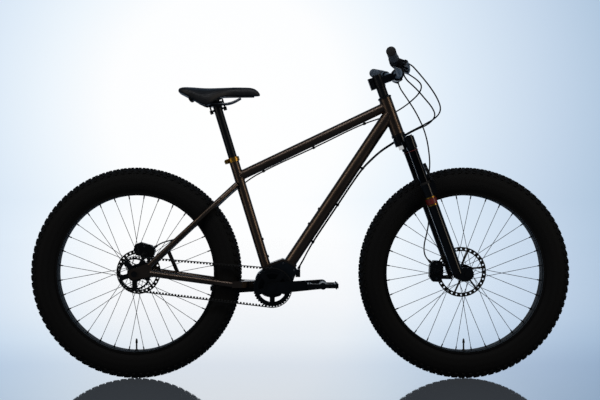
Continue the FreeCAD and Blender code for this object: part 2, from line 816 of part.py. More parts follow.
def stays(seat_core):
    half_drop = "(dropout_spread + dropout_thickness) / 2"
    x_share, low_share = DROPOUT_SHARES[0]
    tab = REAR_AXLE + spot(f"0.9 * {x_share} * dropout_length", half_drop,
                           f"({low_share} + {DROPOUT_SHARES[1][1]}) / 2 * dropout_length")
    yoke_end = yoke_back() + spot(0, "stay_yoke_spread / 2", 0)
    over = (yoke_end - tab).normalize() * mm("yoke_height / 2")
    past_yoke = block("PastYoke", Placement(yoke_back() + spot("yoke_length / 2", 0, 0), Rotation()),
                      "yoke_length", "2 * stay_yoke_spread", "2 * stay_yoke_spread")
    chain_left = tube("ChainStay", tab, yoke_end + over, "chain_stay_od / 2",
                      "chain_stay_od / 2 - stay_wall")
    drop_left, drop_right = dropout(1), dropout(-1)
    chain_cut = cut("ChainStayFitted", chain_left, past_yoke, drop_left)
    low_x, low_z = DROPOUT_SHARES[2]
    high_x, high_z = DROPOUT_SHARES[3]
    foot = REAR_AXLE + spot(f"({low_x} + {high_x}) * {STAY_FOOT_SHARE} * dropout_length", half_drop,
                            f"({low_z} + {high_z}) * {STAY_FOOT_SHARE} * dropout_length")
    head = REAR_AXLE + spot("seat_stay_ahead", "seat_tube_od / 2", "seat_stay_rise - tyre_od / 2")
    run = head - foot
    knee = foot + run * STAY_KNEE_SHARE
    knee.y = mm("seat_stay_spread_at_tyre / 2 + rim_wall")
    shoulder = foot + run * STAY_SHOULDER_SHARE
    shoulder.y = mm("seat_stay_spread_at_tyre / 2")
    bent_stay = bent("SeatStay", [foot, knee, shoulder, head], "seat_stay_od / 2",
                     "seat_stay_od / 2 - stay_wall")
    seat_cut = cut("SeatStayFitted", bent_stay, drop_left, seat_core)
    brace_foot = tab + (yoke_end - tab) * (mm("brace_foot_ahead - dropout_length") / (yoke_end - tab).x)
    brace_head = foot + (knee - foot) * (mm("brace_head_ahead - dropout_length") / (knee - foot).x)
    brace = rod("StayBrace", brace_foot, brace_head, "brace_od / 2")
    chain_core = rod("ChainStayCore", tab, yoke_end, "chain_stay_od / 2")
    seat_path, _ = bent_path([foot, knee, shoulder, head])
    stay_core = doc.addObject("Part::Feature", "SeatStayCore")
    stay_core.Shape = swept_round(seat_path, mm("seat_stay_od / 2"))
    brace_cut = cut("StayBraceFitted", brace, chain_core, stay_core)
    node("chain_stays", group("ChainStays", chain_cut, mirrored("ChainStayRight", chain_cut), brace_cut))
    node("seat_stays", group("SeatStays", seat_cut, mirrored("SeatStayRight", seat_cut)))
    node("dropouts", group("Dropouts", drop_left, drop_right))
    return drop_left


def headset():
    bore, outer = "cup_bore / 2", "cup_od / 2"
    inside, fit = "head_tube_od / 2 - head_tube_wall - slip_fit", "steerer_od / 2 + slip_fit"
    low_start = "crown_height + small_gap + lower_stack / 4"
    rings = [
        ring_profile(bore, outer, low_start, HEAD_BOTTOM),
        ring_profile(fit, inside, HEAD_BOTTOM, f"{HEAD_BOTTOM} + headset_bearing_height"),
        ring_profile(fit, inside, f"{HEAD_TOP} - headset_bearing_height", HEAD_TOP),
        [(bore, HEAD_TOP), (outer, HEAD_TOP), (outer, f"{HEAD_TOP} + upper_cup_height / 2"),
         ("spacer_od / 2", f"{CUP_TOP} - small_gap"), (bore, f"{CUP_TOP} - small_gap")],
    ]
    pieces = [turned("HeadsetRing", STEERING, profile) for profile in rings]
    node("headset", group("Headset", *pieces))


def boss_bolts():
    """Bottle boss bolts on the down tube and the seat tube."""
    foot, head = down_tube_ends()
    run = (head - foot).normalize()
    up = Vector(-run.z, 0, run.x)
    out = SEATING.Rotation.multVec(AHEAD)
    down_core = rod("DownCore", foot, head, "down_tube_od / 2")
    seat_core = rod("SeatBossCore", seat(0), seat("seat_tube_top"), "seat_tube_od / 2")
    bolts = []
    for index in range(2):
        along = run * mm(f"down_boss_at + {index} * boss_spacing")
        on_down = foot + along + up * mm("down_tube_od / 2 - boss_bolt_sink")
        on_seat = seat(f"seat_boss_at + {index} * boss_spacing", "seat_tube_od / 2 - boss_bolt_sink")
        for place, way, core in ((on_down, up, down_core), (on_seat, out, seat_core)):
            bolts.append(cut("BossBoltSeated", rod("BossBolt", place, place + way * mm("boss_bolt_height"),
                                                   "boss_bolt_od / 2"), core))
    return bolts


def down_tube_ends():
    return (CRANK + spot("down_tube_ahead_crank", 0, "down_tube_above_crank"),
            steer(f"{HEAD_TOP} - down_tube_below_head_top"))


def mid_bend(points, stop):
    """Middle of the bend at one numbered point of a route, and the heading there."""
    path, _ = bent_path(points[stop - 1:stop + 2])
    bend = path.Edges[1]
    at = (bend.FirstParameter + bend.LastParameter) / 2
    return bend.valueAt(at), bend.tangentAt(at).normalize()


def clip(lines, stops, bore, ends, tube_od):
    """Clip round one or two lines, with a foot that stands on the tube between the given ends."""
    start, end = ends
    run = (end - start).normalize()
    places, bores = [], []
    for points, stop in zip(lines, stops):
        place, heading = mid_bend(points, stop)
        over = heading * mm("cut_over / 2")
        bores.append(rod("ClipBore", place - over, place + over, f"{bore} / 2 + small_gap"))
        places.append(place)
    middle = sum(places[1:], places[0]) * (1 / len(places))
    turn = Rotation(heading, LEFT, heading.cross(LEFT), "XZY")
    pad_block = block("ClipBlock", Placement(middle, turn), "clip_length", f"{len(places)} * clip_od",
                      "clip_od")
    on_axis = start + run * (middle - start).dot(run)
    foot = rod("ClipFoot", middle, on_axis, "clip_foot_od / 2")
    return cut("Clip", fuse("ClipSolid", pad_block, foot), *bores,
               rod("ClipTube", start, end, f"{tube_od} / 2"))


def hoses(left, right):
    """Hoses and cables from the controls to the brakes and the gearbox, and the clips that hold them."""
    outlet = "housing_od / 2 + housing_box / 2 + cable_od / 2"
    middle = f"{SHIFTER_AT} - housing_length / 2"
    port = spot("cylinder_ahead", 0, f"{LEVER_AT} - cylinder_inwards - 2 * small_gap")
    upper = [right.multVec(spot(outlet, "outlet_spread / 2", middle))] + route(GEAR_CABLE_UPPER)
    lower = [right.multVec(spot(outlet, "-outlet_spread / 2", middle))] + route(GEAR_CABLE_LOWER)
    rear = [right.multVec(port)] + route(REAR_BRAKE_HOSE)
    front = [left.multVec(port)] + route(FRONT_BRAKE_HOSE)
    cables = [bent("GearCableUpper", upper, "cable_od / 2"), bent("GearCableLower", lower, "cable_od / 2")]
    node("gear_cables", group("GearCables", *cables))
    node("rear_brake_hose", bent("RearBrakeHose", rear, "hose_od / 2"))
    node("front_brake_hose", bent("FrontBrakeHose", front, "hose_od / 2"))
    top_ends = (seat("top_tube_at_seat"), steer(f"{HEAD_TOP} - top_tube_below_head_top"))
    clips = [clip((upper, lower), stops, "cable_od", down_tube_ends(), "down_tube_od")
             for stops in zip(CABLE_CLIP_STOPS, LOWER_CABLE_CLIP_STOPS)]
    clips += [clip((rear,), (stop,), "hose_od", top_ends, "top_tube_od") for stop in HOSE_CLIP_STOPS]
    node("frame_fittings", group("FrameFittings", *boss_bolts(), *clips))


# Belt drive and cranks
def pitch_radius(teeth):
    return f"({teeth} * belt_pitch / (2 * pi))"


def toothed_ring(name, centre, teeth, loops):
    """Toothed pulley disc on the belt line, with the given inner outline."""
    tip = f"{pitch_radius(teeth)} - belt_below_pitch - small_gap"
    near = mm("belt_width / 2 - belt_line")
    body = side_plate(name, centre, near, [("circle", 0, 0, tip), *loops], "belt_width")
    holes(body, [("circle", 0, tip, "tooth_gap_od / 2")], teeth)
    return body


def pulley_window(teeth, arms, hub_od, arm_width):
    """One opening between two arms of a pulley, as a closed loop about the upward direction."""
    inner, outer = f"({hub_od} / 2)", f"({pitch_radius(teeth)} - pulley_ring)"
    half = f"(180 / {arms})"
    corners = []
    for radius, sign in ((inner, -1), (outer, -1), (outer, 1), (inner, 1)):
        x = f"{sign} * ({radius} * sin({half}) - {arm_width} / 2)"
        z = f"sqrt({radius} * {radius} - ({radius} * sin({half}) - {arm_width} / 2) ^ 2)"
        corners.append([x, z])
    return [(*corners[0],), (*corners[1], outer, -1), (*corners[2],), (*corners[3], inner, 1)]


def front_pulley():
    bore = ("circle", 0, 0, "spindle_od / 2 + slip_fit")
    disc = toothed_ring("FrontPulleyDisc", CRANK, "front_teeth", [bore])
    holes(disc, [pulley_window("front_teeth", "pulley_arms", "pulley_hub_od", "pulley_arm_width")],
          "pulley_arms")
    start = "belt_line - belt_width / 2"
    end = "gearbox_width / 2 + small_gap"
    sleeve = turned("FrontPulleySleeve", facing(CRANK, -LEFT),
                    ring_profile("spindle_od / 2 + slip_fit", "pulley_sleeve_od / 2", end, start))
    node("front_pulley", fuse("FrontPulley", disc, sleeve))


def rear_pulley():
    bore = ("circle", 0, 0, "rear_axle_od / 2 + slip_fit")
    disc = toothed_ring("RearPulleyDisc", REAR_AXLE, "rear_teeth", [bore])
    holes(disc, [pulley_window("rear_teeth", "pulley_arms", "driver_od", "pulley_arm_width")],
          "pulley_arms")
    face = "belt_line + belt_width / 2"
    near_hub, near_drop = "rear_hub_right + small_gap", "dropout_spread / 2 - small_gap"
    inner = "rear_axle_od / 2 + slip_fit"
    driver = turned("RearDriver", facing(REAR_AXLE, -LEFT), [
        (inner, near_hub), ("driver_od / 2", near_hub), ("driver_od / 2", face), ("hub_end_od / 2", face),
        ("hub_end_od / 2", near_drop), (inner, near_drop)])
    node("rear_pulley", fuse("RearPulley", disc, driver))


def belt():
    """Belt band round both pulleys: outer loop less inner loop, in the side view about the crank."""
    span = REAR_AXLE - CRANK
    lean = Placement(Vector(CRANK.x, mm("belt_width / 2 - belt_line"), CRANK.z),
                     Rotation(LEFT, math.degrees(math.atan2(-span.z, span.x))).multiply(TO_SIDE))
    distance = "sqrt(crank_setback ^ 2 + crank_drop ^ 2)"
    loops = []
    for offset in ("belt_above_pitch", "-belt_below_pitch"):
        start_od = f"(2 * ({pitch_radius('front_teeth')} + {offset}))"
        end_od = f"(2 * ({pitch_radius('rear_teeth')} + {offset}))"
        loops.append(link_loop(distance, start_od, end_od))
    node("belt", plate("Belt", lean, loops, "belt_width"))


def crank_arm(side):
    angle = mm("crank_rise_angle") if side < 0 else 180 + mm("crank_rise_angle")
    near = mm("crank_spread / 2 + crank_thickness") if side > 0 else -mm("crank_spread / 2")
    place = Placement(Vector(CRANK.x, near, CRANK.z), Rotation(LEFT, -angle).multiply(TO_SIDE))
    loops = [link_loop("crank_length", "crank_boss_od", "crank_eye_od"),
             ("circle", 0, 0, "spindle_od / 2 + slip_fit"),
             ("circle", "crank_length", 0, "pedal_axle_od / 2 + slip_fit")]
    return plate("CrankArm", place, loops, "crank_thickness")


def pedal_centre(side):
    angle = math.radians(mm("crank_rise_angle"))
    reach = Vector(math.cos(angle), 0, math.sin(angle)) * mm("crank_length")
    return CRANK + (reach if side < 0 else -reach)


def pedal_span(side):
    """Inner and outer ends of a pedal's platform along y."""
    inner = mm("crank_spread / 2 + crank_thickness + pedal_offset")
    return side * inner, side * (inner + mm("pedal_width"))


def cranks():
    caps = []
    axles = []
    half = mm("spindle_length / 2")
    for side in (-1, 1):
        end = CRANK + LEFT * half * side
        caps.append(rod("CrankCap", end, end + LEFT * mm("crank_cap_thickness") * side, "crank_cap_od / 2"))
        centre = pedal_centre(side)
        start = centre + LEFT * side * mm("crank_spread / 2")
        tip = centre + LEFT * (pedal_span(side)[1] - side * mm("pedal_rail / 2"))
        axles.append(rod("PedalAxle", start, tip, "pedal_axle_od / 2"))
    spindle = rod("CrankSpindle", CRANK - LEFT * half, CRANK + LEFT * half, "spindle_od / 2")
    node("crank_arms", group("CrankArms", crank_arm(-1), crank_arm(1)))
    node("crank_shafts", group("CrankShafts", spindle, *caps, *axles))


def pedal(side):
    """Open platform with an axle sleeve and grip pins on both faces."""
    centre = pedal_centre(side)
    inner, outer = pedal_span(side)
    middle = Vector(centre.x, (inner + outer) / 2, centre.z)
    half_x, half_y = "pedal_length / 2", "pedal_width / 2"
    loop = [(f"-{half_x}", f"-{half_y}"), (half_x, f"-{half_y}"), (half_x, half_y), (f"-{half_x}", half_y)]
    windows = []
    for low, high in ((f"pedal_rail - {half_x}", "-pedal_sleeve_od / 2"),
                      ("pedal_sleeve_od / 2", f"{half_x} - pedal_rail")):
        edge = f"({half_y} - pedal_rail)"
        windows.append([(low, f"-{edge}"), (high, f"-{edge}"), (high, edge), (low, edge)])
    foot = middle - spot(0, 0, "pedal_thickness / 2")
    body = plate("PedalPlatform", Placement(foot, Rotation()), [loop, *windows], "pedal_thickness")
    sleeve = rod("PedalSleeve", Vector(centre.x, inner, centre.z), Vector(centre.x, outer, centre.z),
                 "pedal_sleeve_od / 2")
    bore = rod("PedalBore", Vector(centre.x, inner - side * mm("cut_over"), centre.z),
               Vector(centre.x, outer - side * mm("pedal_rail / 2 - small_gap"), centre.z),
               "pedal_axle_od / 2 + slip_fit")
    pins = []
    for x in (f"({half_x} - pedal_rail / 2)", f"-({half_x} - pedal_rail / 2)"):
        for y in (f"-({half_y} - pedal_rail / 2)", 0, f"({half_y} - pedal_rail / 2)"):
            low = middle + spot(x, y, "-pedal_thickness / 2 - pedal_pin_height")
            pins.append(rod("PedalPin", low, low + spot(0, 0, "pedal_thickness + 2 * pedal_pin_height"),
                            "pedal_pin_od / 2"))
    return cut("Pedal", fuse("PedalFrame", body, sleeve, *pins), bore)


# Wheels
def tyre_profile(offset):
    """Half outline of the casing, from bead to crown edge, moved inwards by the offset."""
    return [
        ("bead_seat_od / 2 + rim_flange + bead_width / 2",
         f"rim_width / 2 - rim_wall - slip_fit - {offset}"),
        ("tyre_widest_od / 2", f"tyre_width / 2 - {offset}"),
        (f"{CROWN} - tread_drop - {offset} / 2",
         f"tread_base_width / 2 - {offset} * {INNER_SHOULDER_SHARE}"),
    ]


CROWN = "(tyre_od / 2 - tread_depth)"
CROWN_RADIUS = "((tread_base_width ^ 2 / 4 + tread_drop ^ 2) / (2 * tread_drop))"
LOWER_WALL_RADIUS = f"({LOWER_WALL_SHARE} * tyre_width)"
UPPER_WALL_RADIUS = f"({UPPER_WALL_SHARE} * tyre_width)"
CROWN_HALF = f"asin(tread_base_width / 2 / {CROWN_RADIUS})"


def casing_line():
    """Edges of the casing's section, from one shoulder round the beads and the inside to the other."""
    outer, inner = tyre_profile("0"), tyre_profile("tyre_wall")
    bead = "bead_seat_od / 2 + slip_fit"
    lip = "rim_width / 2 - rim_wall - slip_fit"
    toe = f"{lip} - bead_width"
    left = [(outer[2][0], outer[2][1], UPPER_WALL_RADIUS, -1),
            (outer[1][0], outer[1][1], LOWER_WALL_RADIUS, -1),
            (outer[0][0], outer[0][1]), (bead, lip), (bead, toe),
            (inner[0][0], inner[0][1], LOWER_WALL_RADIUS, 1),
            (inner[1][0], inner[1][1], UPPER_WALL_RADIUS, 1),
            (inner[2][0], inner[2][1], CROWN_RADIUS, 1)]
    right = [(inner[2][0], inner[2][1], UPPER_WALL_RADIUS, 1),
             (inner[1][0], inner[1][1], LOWER_WALL_RADIUS, 1),
             (inner[0][0], inner[0][1]), (bead, toe), (bead, lip),
             (outer[0][0], outer[0][1], LOWER_WALL_RADIUS, -1),
             (outer[1][0], outer[1][1], UPPER_WALL_RADIUS, -1),
             (outer[2][0], outer[2][1])]
    corners = [(corner[0], f"-({corner[1]})", *corner[2:]) for corner in left] + right
    spots = [spot(corner[0], corner[1], 0) for corner in corners]
    edges = []
    for corner, start, end in zip(corners, spots, spots[1:]):
        curve = arc_between(start, end, mm(corner[2]),
                            corner[3]) if len(corner) > 2 else Part.LineSegment(start, end)
        edges.append(curve.toShape())
    section = Part.Compound(edges)
    section.rotate(Vector(), AHEAD, 90)
    return section.Edges


def crown_point(share, rise):
    """Point across the crown at a share of its half angle, raised above the casing."""
    angle = math.radians(share * mm(CROWN_HALF))
    reach = mm(CROWN_RADIUS) + rise
    return Vector(mm(f"{CROWN} - {CROWN_RADIUS}") + reach * math.cos(angle), 0, reach * math.sin(angle))


def crown_arc(start, end, rise):
    middle = (start + end) / 2
    return Part.Arc(crown_point(start, rise), crown_point(middle, rise), crown_point(end, rise)).toShape()


def rib_line(start, end):
    """Walls and top of a tread rib's section."""
    depth = mm("tread_depth")
    rise = Part.LineSegment(crown_point(start, 0), crown_point(start, depth)).toShape()
    fall = Part.LineSegment(crown_point(end, depth), crown_point(end, 0)).toShape()
    return [rise, crown_arc(start, end, depth), fall]


def tread_line(raised):
    """Edges across the crown, where the raised rows stand up as ribs."""
    stops = sorted({share for row in TREAD_ROW_SHARES for share in row})
    edges = []
    for row in zip(stops, stops[1:]):
        edges += rib_line(*row) if row in raised else [crown_arc(*row, 0)]
    return edges


def spun_faces(edges, start, sweep):
    faces = []
    for edge in edges:
        strip = edge.copy()
        strip.rotate(Vector(), UP, start)
        faces += strip.revolve(Vector(), UP, sweep).Faces
    return faces


def tyre(name, axle):
    """Tyre sewn into one solid from the strips of its casing and of its tread ribs."""
    faces = []
    for start in (0, 180):
        faces += spun_faces(casing_line() + tread_line(TREAD_ROW_SHARES), start, 180)
    skin = Part.Compound(faces)
    skin.sewShape(mm("sew_gap"))
    piece = doc.addObject("Part::Feature", name)
    piece.Shape = Part.Solid(skin.Shells[0])
    piece.Placement = wheel_place(axle)
    return piece


def wheel_place(axle):
    """Wheel frame whose own axis lies along the axle."""
    return Placement(axle, Rotation(LEFT, 90).multiply(Rotation(AHEAD, -90)))


def rim(name, axle):
    half, wall = "rim_width / 2", "rim_wall"
    seat_radius, bore = "bead_seat_od / 2", "rim_bore / 2"
    well = "rim_well_width / 2"
    right = [(f"{seat_radius} - {wall}", half), (f"{seat_radius} + rim_flange", half),
             (f"{seat_radius} + rim_flange", f"{half} - {wall}"), (seat_radius, f"{half} - {wall}"),
             (seat_radius, f"{well} + rim_slope"), (f"{bore} + {wall}", well)]
    left = [(radius, f"-({y})") for radius, y in reversed(right)]
    under = [(bore, f"-({well})"), (bore, well), (f"{seat_radius} - {wall}", f"{well} + rim_slope")]
    under_left = [(f"{seat_radius} - {wall}", f"-({well} + rim_slope)")]
    hoop = turned(name, wheel_place(axle), right + left + under_left + under)
    low = axle - UP * mm("rim_bore / 2")
    valve = rod(name + "Valve", low, low + UP * mm("valve_length"), "valve_od / 2")
    return group(name + "Set", hoop, valve)


def spokes(name, axle):
    """Crossed spokes on both flanges, each with its nipple at the rim."""
    pieces = []
    count = int(mm("spokes_per_side"))
    pitch = 2 * math.pi / count
    hub_radius, rim_radius = mm("hub_hole_circle / 2"), mm("rim_bore / 2 + slip_fit")
    lay = mm("hub_flange_thickness / 2 + spoke_od / 2 + slip_fit")
    for side in (-1, 1):
        for index in range(count):
            way = 1 if index % 2 else -1
            hub_angle = (index + SPOKE_PHASE_SHARES[side]) * pitch
            rim_angle = hub_angle + way * pitch * mm("spoke_crosses")
            hub_y = side * mm("hub_flange_spread / 2") + way * side * lay
            rim_y = side * mm("spoke_rim_offset / 2")
            start = axle + Vector(hub_radius * math.cos(hub_angle), hub_y, hub_radius * math.sin(hub_angle))
            end = axle + Vector(rim_radius * math.cos(rim_angle), rim_y, rim_radius * math.sin(rim_angle))
            collar = end + (start - end).normalize() * mm("nipple_length")
            pieces.append(rod("Spoke", start, collar, "spoke_od / 2"))
            pieces.append(rod("Nipple", collar, end, "nipple_od / 2"))
    return group(name, *pieces)


def hub(name, axle, right, left, axle_od):
    """Hub shell with two flanges, and a bearing at each end on the axle."""
    fit, barrel = f"{axle_od} / 2 + slip_fit", "hub_barrel_od / 2"
    bore, end = "hub_bore / 2 + small_gap", "hub_end_od / 2"
    seat_radius = "bearing_od / 2 + slip_fit"
    shell_end = "hub_barrel_od / 2"
    profile = [(seat_radius, f"-({right})"), (shell_end, f"-({right})")]
    for sign in ("-", ""):
        near = "hub_flange_spread / 2 - hub_flange_thickness / 2"
        far = f"{near} + hub_flange_thickness"
        first, second = (far, near) if sign else (near, far)
        profile += [(barrel, f"{sign}({first})"), ("hub_flange_od / 2", f"{sign}({first})"),
                    ("hub_flange_od / 2", f"{sign}({second})"), (barrel, f"{sign}({second})")]
    profile += [(shell_end, left), (seat_radius, left), (seat_radius, f"{left} - bearing_width"),
                (bore, f"{left} - bearing_width"), (bore, f"bearing_width - {right}"),
                (seat_radius, f"bearing_width - {right}")]
    place = Placement(axle, Rotation(AHEAD, -90))
    shell = turned(name + "Shell", place, profile)
    bearings = [
        turned(name + "BearingRight", place, ring_profile(fit, "bearing_od / 2", f"-({right})",
                                                          f"bearing_width - {right}")),
        turned(name + "BearingLeft", place, ring_profile(fit, "bearing_od / 2", f"{left} - bearing_width",
                                                         left)),
    ]
    return shell, bearings, fit, end, place


def rotor(name, axle, od, line):
    """Brake disc with a drilled track, slanted arms and a bolted centre."""
    outer, inner = f"{od} / 2", f"({od} / 2 - rotor_track)"
    centre = "rotor_centre_od / 2"
    near = mm(f"{line} + rotor_thickness / 2")
    track = side_plate(name + "Track", axle, near, [("circle", 0, 0, outer), ("circle", 0, 0, inner)],
                       "rotor_thickness")
    holes(track, [("circle", 0, f"({outer} + {inner}) / 2", "rotor_hole_od / 2")], "rotor_holes")
    carrier = side_plate(name + "Carrier", axle, near,
                         [("circle", 0, 0, centre), ("circle", 0, 0, f"{centre} - rotor_centre_width")],
                         "rotor_thickness")
    arm_start, arm_end = f"({centre} - rotor_centre_width / 2)", f"({inner} + rotor_track / 3)"
    slant = f"({ROTOR_SLANT_SHARE} * {inner})"
    arm_loop = [("-rotor_arm_width / 2", arm_start), ("rotor_arm_width / 2", arm_start),
                (f"rotor_arm_width / 2 + {slant}", arm_end), (f"{slant} - rotor_arm_width / 2", arm_end)]
    arms = side_plate(name + "Arms", axle, near, [arm_loop], "rotor_thickness")
    pattern(arms, arms.Group[1] if arms.Group[1].TypeId == "PartDesign::Pad" else arms.Group[0],
            "rotor_arms")
    disc = fuse(name + "Disc", track, carrier, arms)
    bolts = []
    for index in range(int(mm("rotor_arms"))):
        turn = Rotation(LEFT, 180 * (2 * index + 1) / mm("rotor_arms"))
        radius = mm(f"{centre} - rotor_centre_width / 2")
        place = Vector(axle.x, near, axle.z) + turn.multVec(UP * radius)
        bolts.append(rod(name + "Bolt", place, place + LEFT * mm("rotor_bolt_height"), "rotor_bolt_od / 2"))
    return group(name, disc, *bolts)


def wheel(label, axle, od, line):
    node(f"{label}_tyre", tyre(label.capitalize() + "Tyre", axle))
    node(f"{label}_rim", rim(label.capitalize() + "Rim", axle))
    node(f"{label}_spokes", spokes(label.capitalize() + "Spokes", axle))
    node(f"{label}_rotor", rotor(label.capitalize() + "Rotor", axle, od, line))


def end_cap(name, place, fit, end, start, stop):
    return turned(name, place, ring_profile(fit, end, start, stop))


def wheels():
    wheel("front", FRONT_AXLE, "front_rotor_od", "front_rotor_line")
    wheel("rear", REAR_AXLE, "rear_rotor_od", "rear_rotor_line")
    half = "front_hub_spread / 2 - small_gap"
    left = "front_rotor_line - rotor_thickness / 2"
    shell, bearings, fit, end, place = hub("FrontHub", FRONT_AXLE, left, left, "front_axle_od")
    caps = [end_cap("FrontHubCap", place, fit, end, left, half),
            end_cap("FrontHubCap", place, fit, end, f"-({half})", f"-({left})")]
    node("front_hub", group("FrontHub", shell, *bearings, *caps))
    left = "rear_rotor_line - rotor_thickness / 2"
    shell, bearings, fit, end, place = hub("RearHub", REAR_AXLE, "rear_hub_right", left, "rear_axle_od")
    cap = end_cap("RearHubCap", place, fit, end, left, "dropout_spread / 2 - small_gap")
    node("rear_hub", group("RearHub", shell, *bearings, cap))


def axle_bolt(name, centre, half, od):
    """Through axle with a round head on each end."""
    over = LEFT * mm("axle_head_length")
    stem = LEFT * mm(half)
    bar = rod(name + "Bar", centre - stem, centre + stem, f"{od} / 2")
    heads = [rod(name + "Head", centre + stem, centre + stem + over, "axle_head_od / 2"),
             rod(name + "Nut", centre - stem - over, centre - stem, "axle_head_od / 2")]
    return fuse(name, bar, *heads)


# Brakes
def caliper(name, axle, od, line, angle):
    """Two-piece caliper over the rotor's edge, with a bridge outside it and piston caps."""
    turn = Rotation(LEFT, -mm(angle))
    middle = axle + turn.multVec(spot(f"{od} / 2 - rotor_track / 2", 0, 0)) + spot(0, line, 0)
    frame = Placement(middle, turn)
    inside = "(rotor_thickness / 2 + pad_gap + pad_thickness + small_gap)"
    ends = CALIPER_SHARES
    loop = [(x, f"-{share} * caliper_length") for x, share in ends]
    loop += [(x, f"{share} * caliper_length") for x, share in reversed(ends)]
    pieces = []
    for side in (1, -1):
        start = mm(inside) + mm("caliper_half") if side > 0 else -mm(inside)
        pieces.append(plate(name + "Half", frame.multiply(Placement(LEFT * start, TO_SIDE)), [loop],
                            "caliper_half"))
        outer = (mm(inside) + mm("caliper_half")) * side
        tip = outer + side * mm("caliper_cap_height")
        pieces.append(rod(name + "Cap", frame.multVec(LEFT * outer), frame.multVec(LEFT * tip),
                          "caliper_cap_od / 2"))
    bridge_at = spot("rotor_track / 2 + caliper_reach + caliper_bridge / 2", 0, 0)
    bridge = block(name + "Bridge", frame.multiply(Placement(bridge_at, Rotation())), "caliper_bridge",
                   f"2 * ({inside} + caliper_half)", "caliper_length / 2")
    clear = rod(name + "Clear", axle + spot(0, f"{line} - {inside}", 0),
                axle + spot(0, f"{line} + {inside}", 0),
                f"{od} / 2 + rotor_thickness")
    return cut(name, fuse(name + "Body", *pieces, bridge), clear), frame


def pads(label, frame):
    for side, where in ((1, "outer"), (-1, "inner")):
        at = LEFT * side * mm("rotor_thickness / 2 + pad_gap + pad_thickness / 2")
        node(f"{label}_pad_{where}", block(f"{label.capitalize()}Pad",
                                           frame.multiply(Placement(at, Rotation())),
                                           "pad_height", "pad_thickness", "pad_length"))


def mount_arms(name, frame, stops, reach):
    """Bars from the outer caliper half towards the axle."""
    side = "rotor_thickness / 2 + pad_gap + pad_thickness + small_gap + caliper_half / 2"
    return [rod(name, frame.multVec(spot(f"-caliper_in * {MOUNT_ROOT_SHARE}", side,
                                         f"{stop} * caliper_length")),
                frame.multVec(spot(f"-({reach})", side, f"{stop} * caliper_length")), "mount_arm_od / 2")
            for stop in stops]


def brakes(left_dropout):
    body, frame = caliper("FrontCaliper", FRONT_AXLE, "front_rotor_od", "front_rotor_line",
                          "front_caliper_angle")
    pads("front", frame)
    node("front_caliper", body)
    front_arms = [cut("FrontMountArmFitted", arm, body)
                  for arm in mount_arms("FrontMountArm", frame, FRONT_MOUNT_SHARES,
                                        "front_rotor_od / 2 - lower_od")]
    rear_body, rear_frame = caliper("RearCaliper", REAR_AXLE, "rear_rotor_od", "rear_rotor_line",
                                    "rear_caliper_angle")
    pads("rear", rear_frame)
    rear_arms = mount_arms("RearMountArm", rear_frame, REAR_MOUNT_SHARES,
                           "rear_rotor_od / 2 - rotor_track * 2")
    node("rear_caliper", cut("RearCaliperFitted", fuse("RearCaliperArmed", rear_body, *rear_arms),
                             left_dropout))
    node("rear_axle", axle_bolt("RearAxle", REAR_AXLE, "dropout_spread / 2 + dropout_thickness",
                                "rear_axle_od"))
    return front_arms


# Fork
def fork_upper():
    race = "crown_height"
    side = "leg_spread / 2"
    crown_top = f"{race} - crown_top_drop"
    sockets = [rod("CrownSocket", steer(f"{crown_top} - crown_socket_length", "leg_ahead",
                                        f"{sign} * {side}"),
                   steer(crown_top, "leg_ahead", f"{sign} * {side}"), "crown_socket_od / 2")
                   for sign in (-1, 1)]
    neck = rod("CrownNeck", steer(f"{race} - crown_neck_height"), steer(race), "crown_neck_od / 2")
    beam_at = STEERING.multiply(Placement(spot("leg_ahead / 2", 0,
                                               f"{crown_top} - crown_socket_length / 2"), Rotation()))
    beam = block("CrownBeam", beam_at, "crown_width", "leg_spread",
                 f"crown_socket_length * {CROWN_BEAM_SHARE}")
    race_ring = rod("CrownRace", steer(race), steer(f"{race} + lower_stack / 4"), "crown_race_od / 2")
    bores = [rod("CrownBore", steer(f"{crown_top} - crown_socket_length - cut_over", "leg_ahead",
                                    f"{sign} * {side}"),
                 steer(f"{crown_top} + cut_over", "leg_ahead", f"{sign} * {side}"),
                 "stanchion_od / 2 + slip_fit")
             for sign in (-1, 1)]
    steerer_bore = rod("CrownSteererBore", steer(f"{race} - steerer_sink"), steer(f"{race} + cut_over"),
                       "steerer_od / 2 + slip_fit")
    node("fork_crown", cut("ForkCrown", fuse("CrownForging", *sockets, neck, beam, race_ring), *bores,
                           steerer_bore))
    node("steerer", tube("Steerer", steer(f"{race} - steerer_sink"),
                         steer(f"{HEAD_TOP} + steerer_above_head"),
                         "steerer_od / 2", "steerer_od / 2 - steerer_wall"))
    legs = []
    for sign in (-1, 1):
        low = steer("lower_top - stanchion_overlap", "leg_ahead", f"{sign} * {side}")
        high = steer(crown_top, "leg_ahead", f"{sign} * {side}")
        up = (high - low).normalize()
        legs.append(tube("Stanchion", low, high, "stanchion_od / 2", "stanchion_od / 2 - stanchion_wall"))
        legs.append(rod("TopCap", high, high + up * mm("cap_height"), "cap_od / 2"))
    node("stanchions", group("Stanchions", *legs))


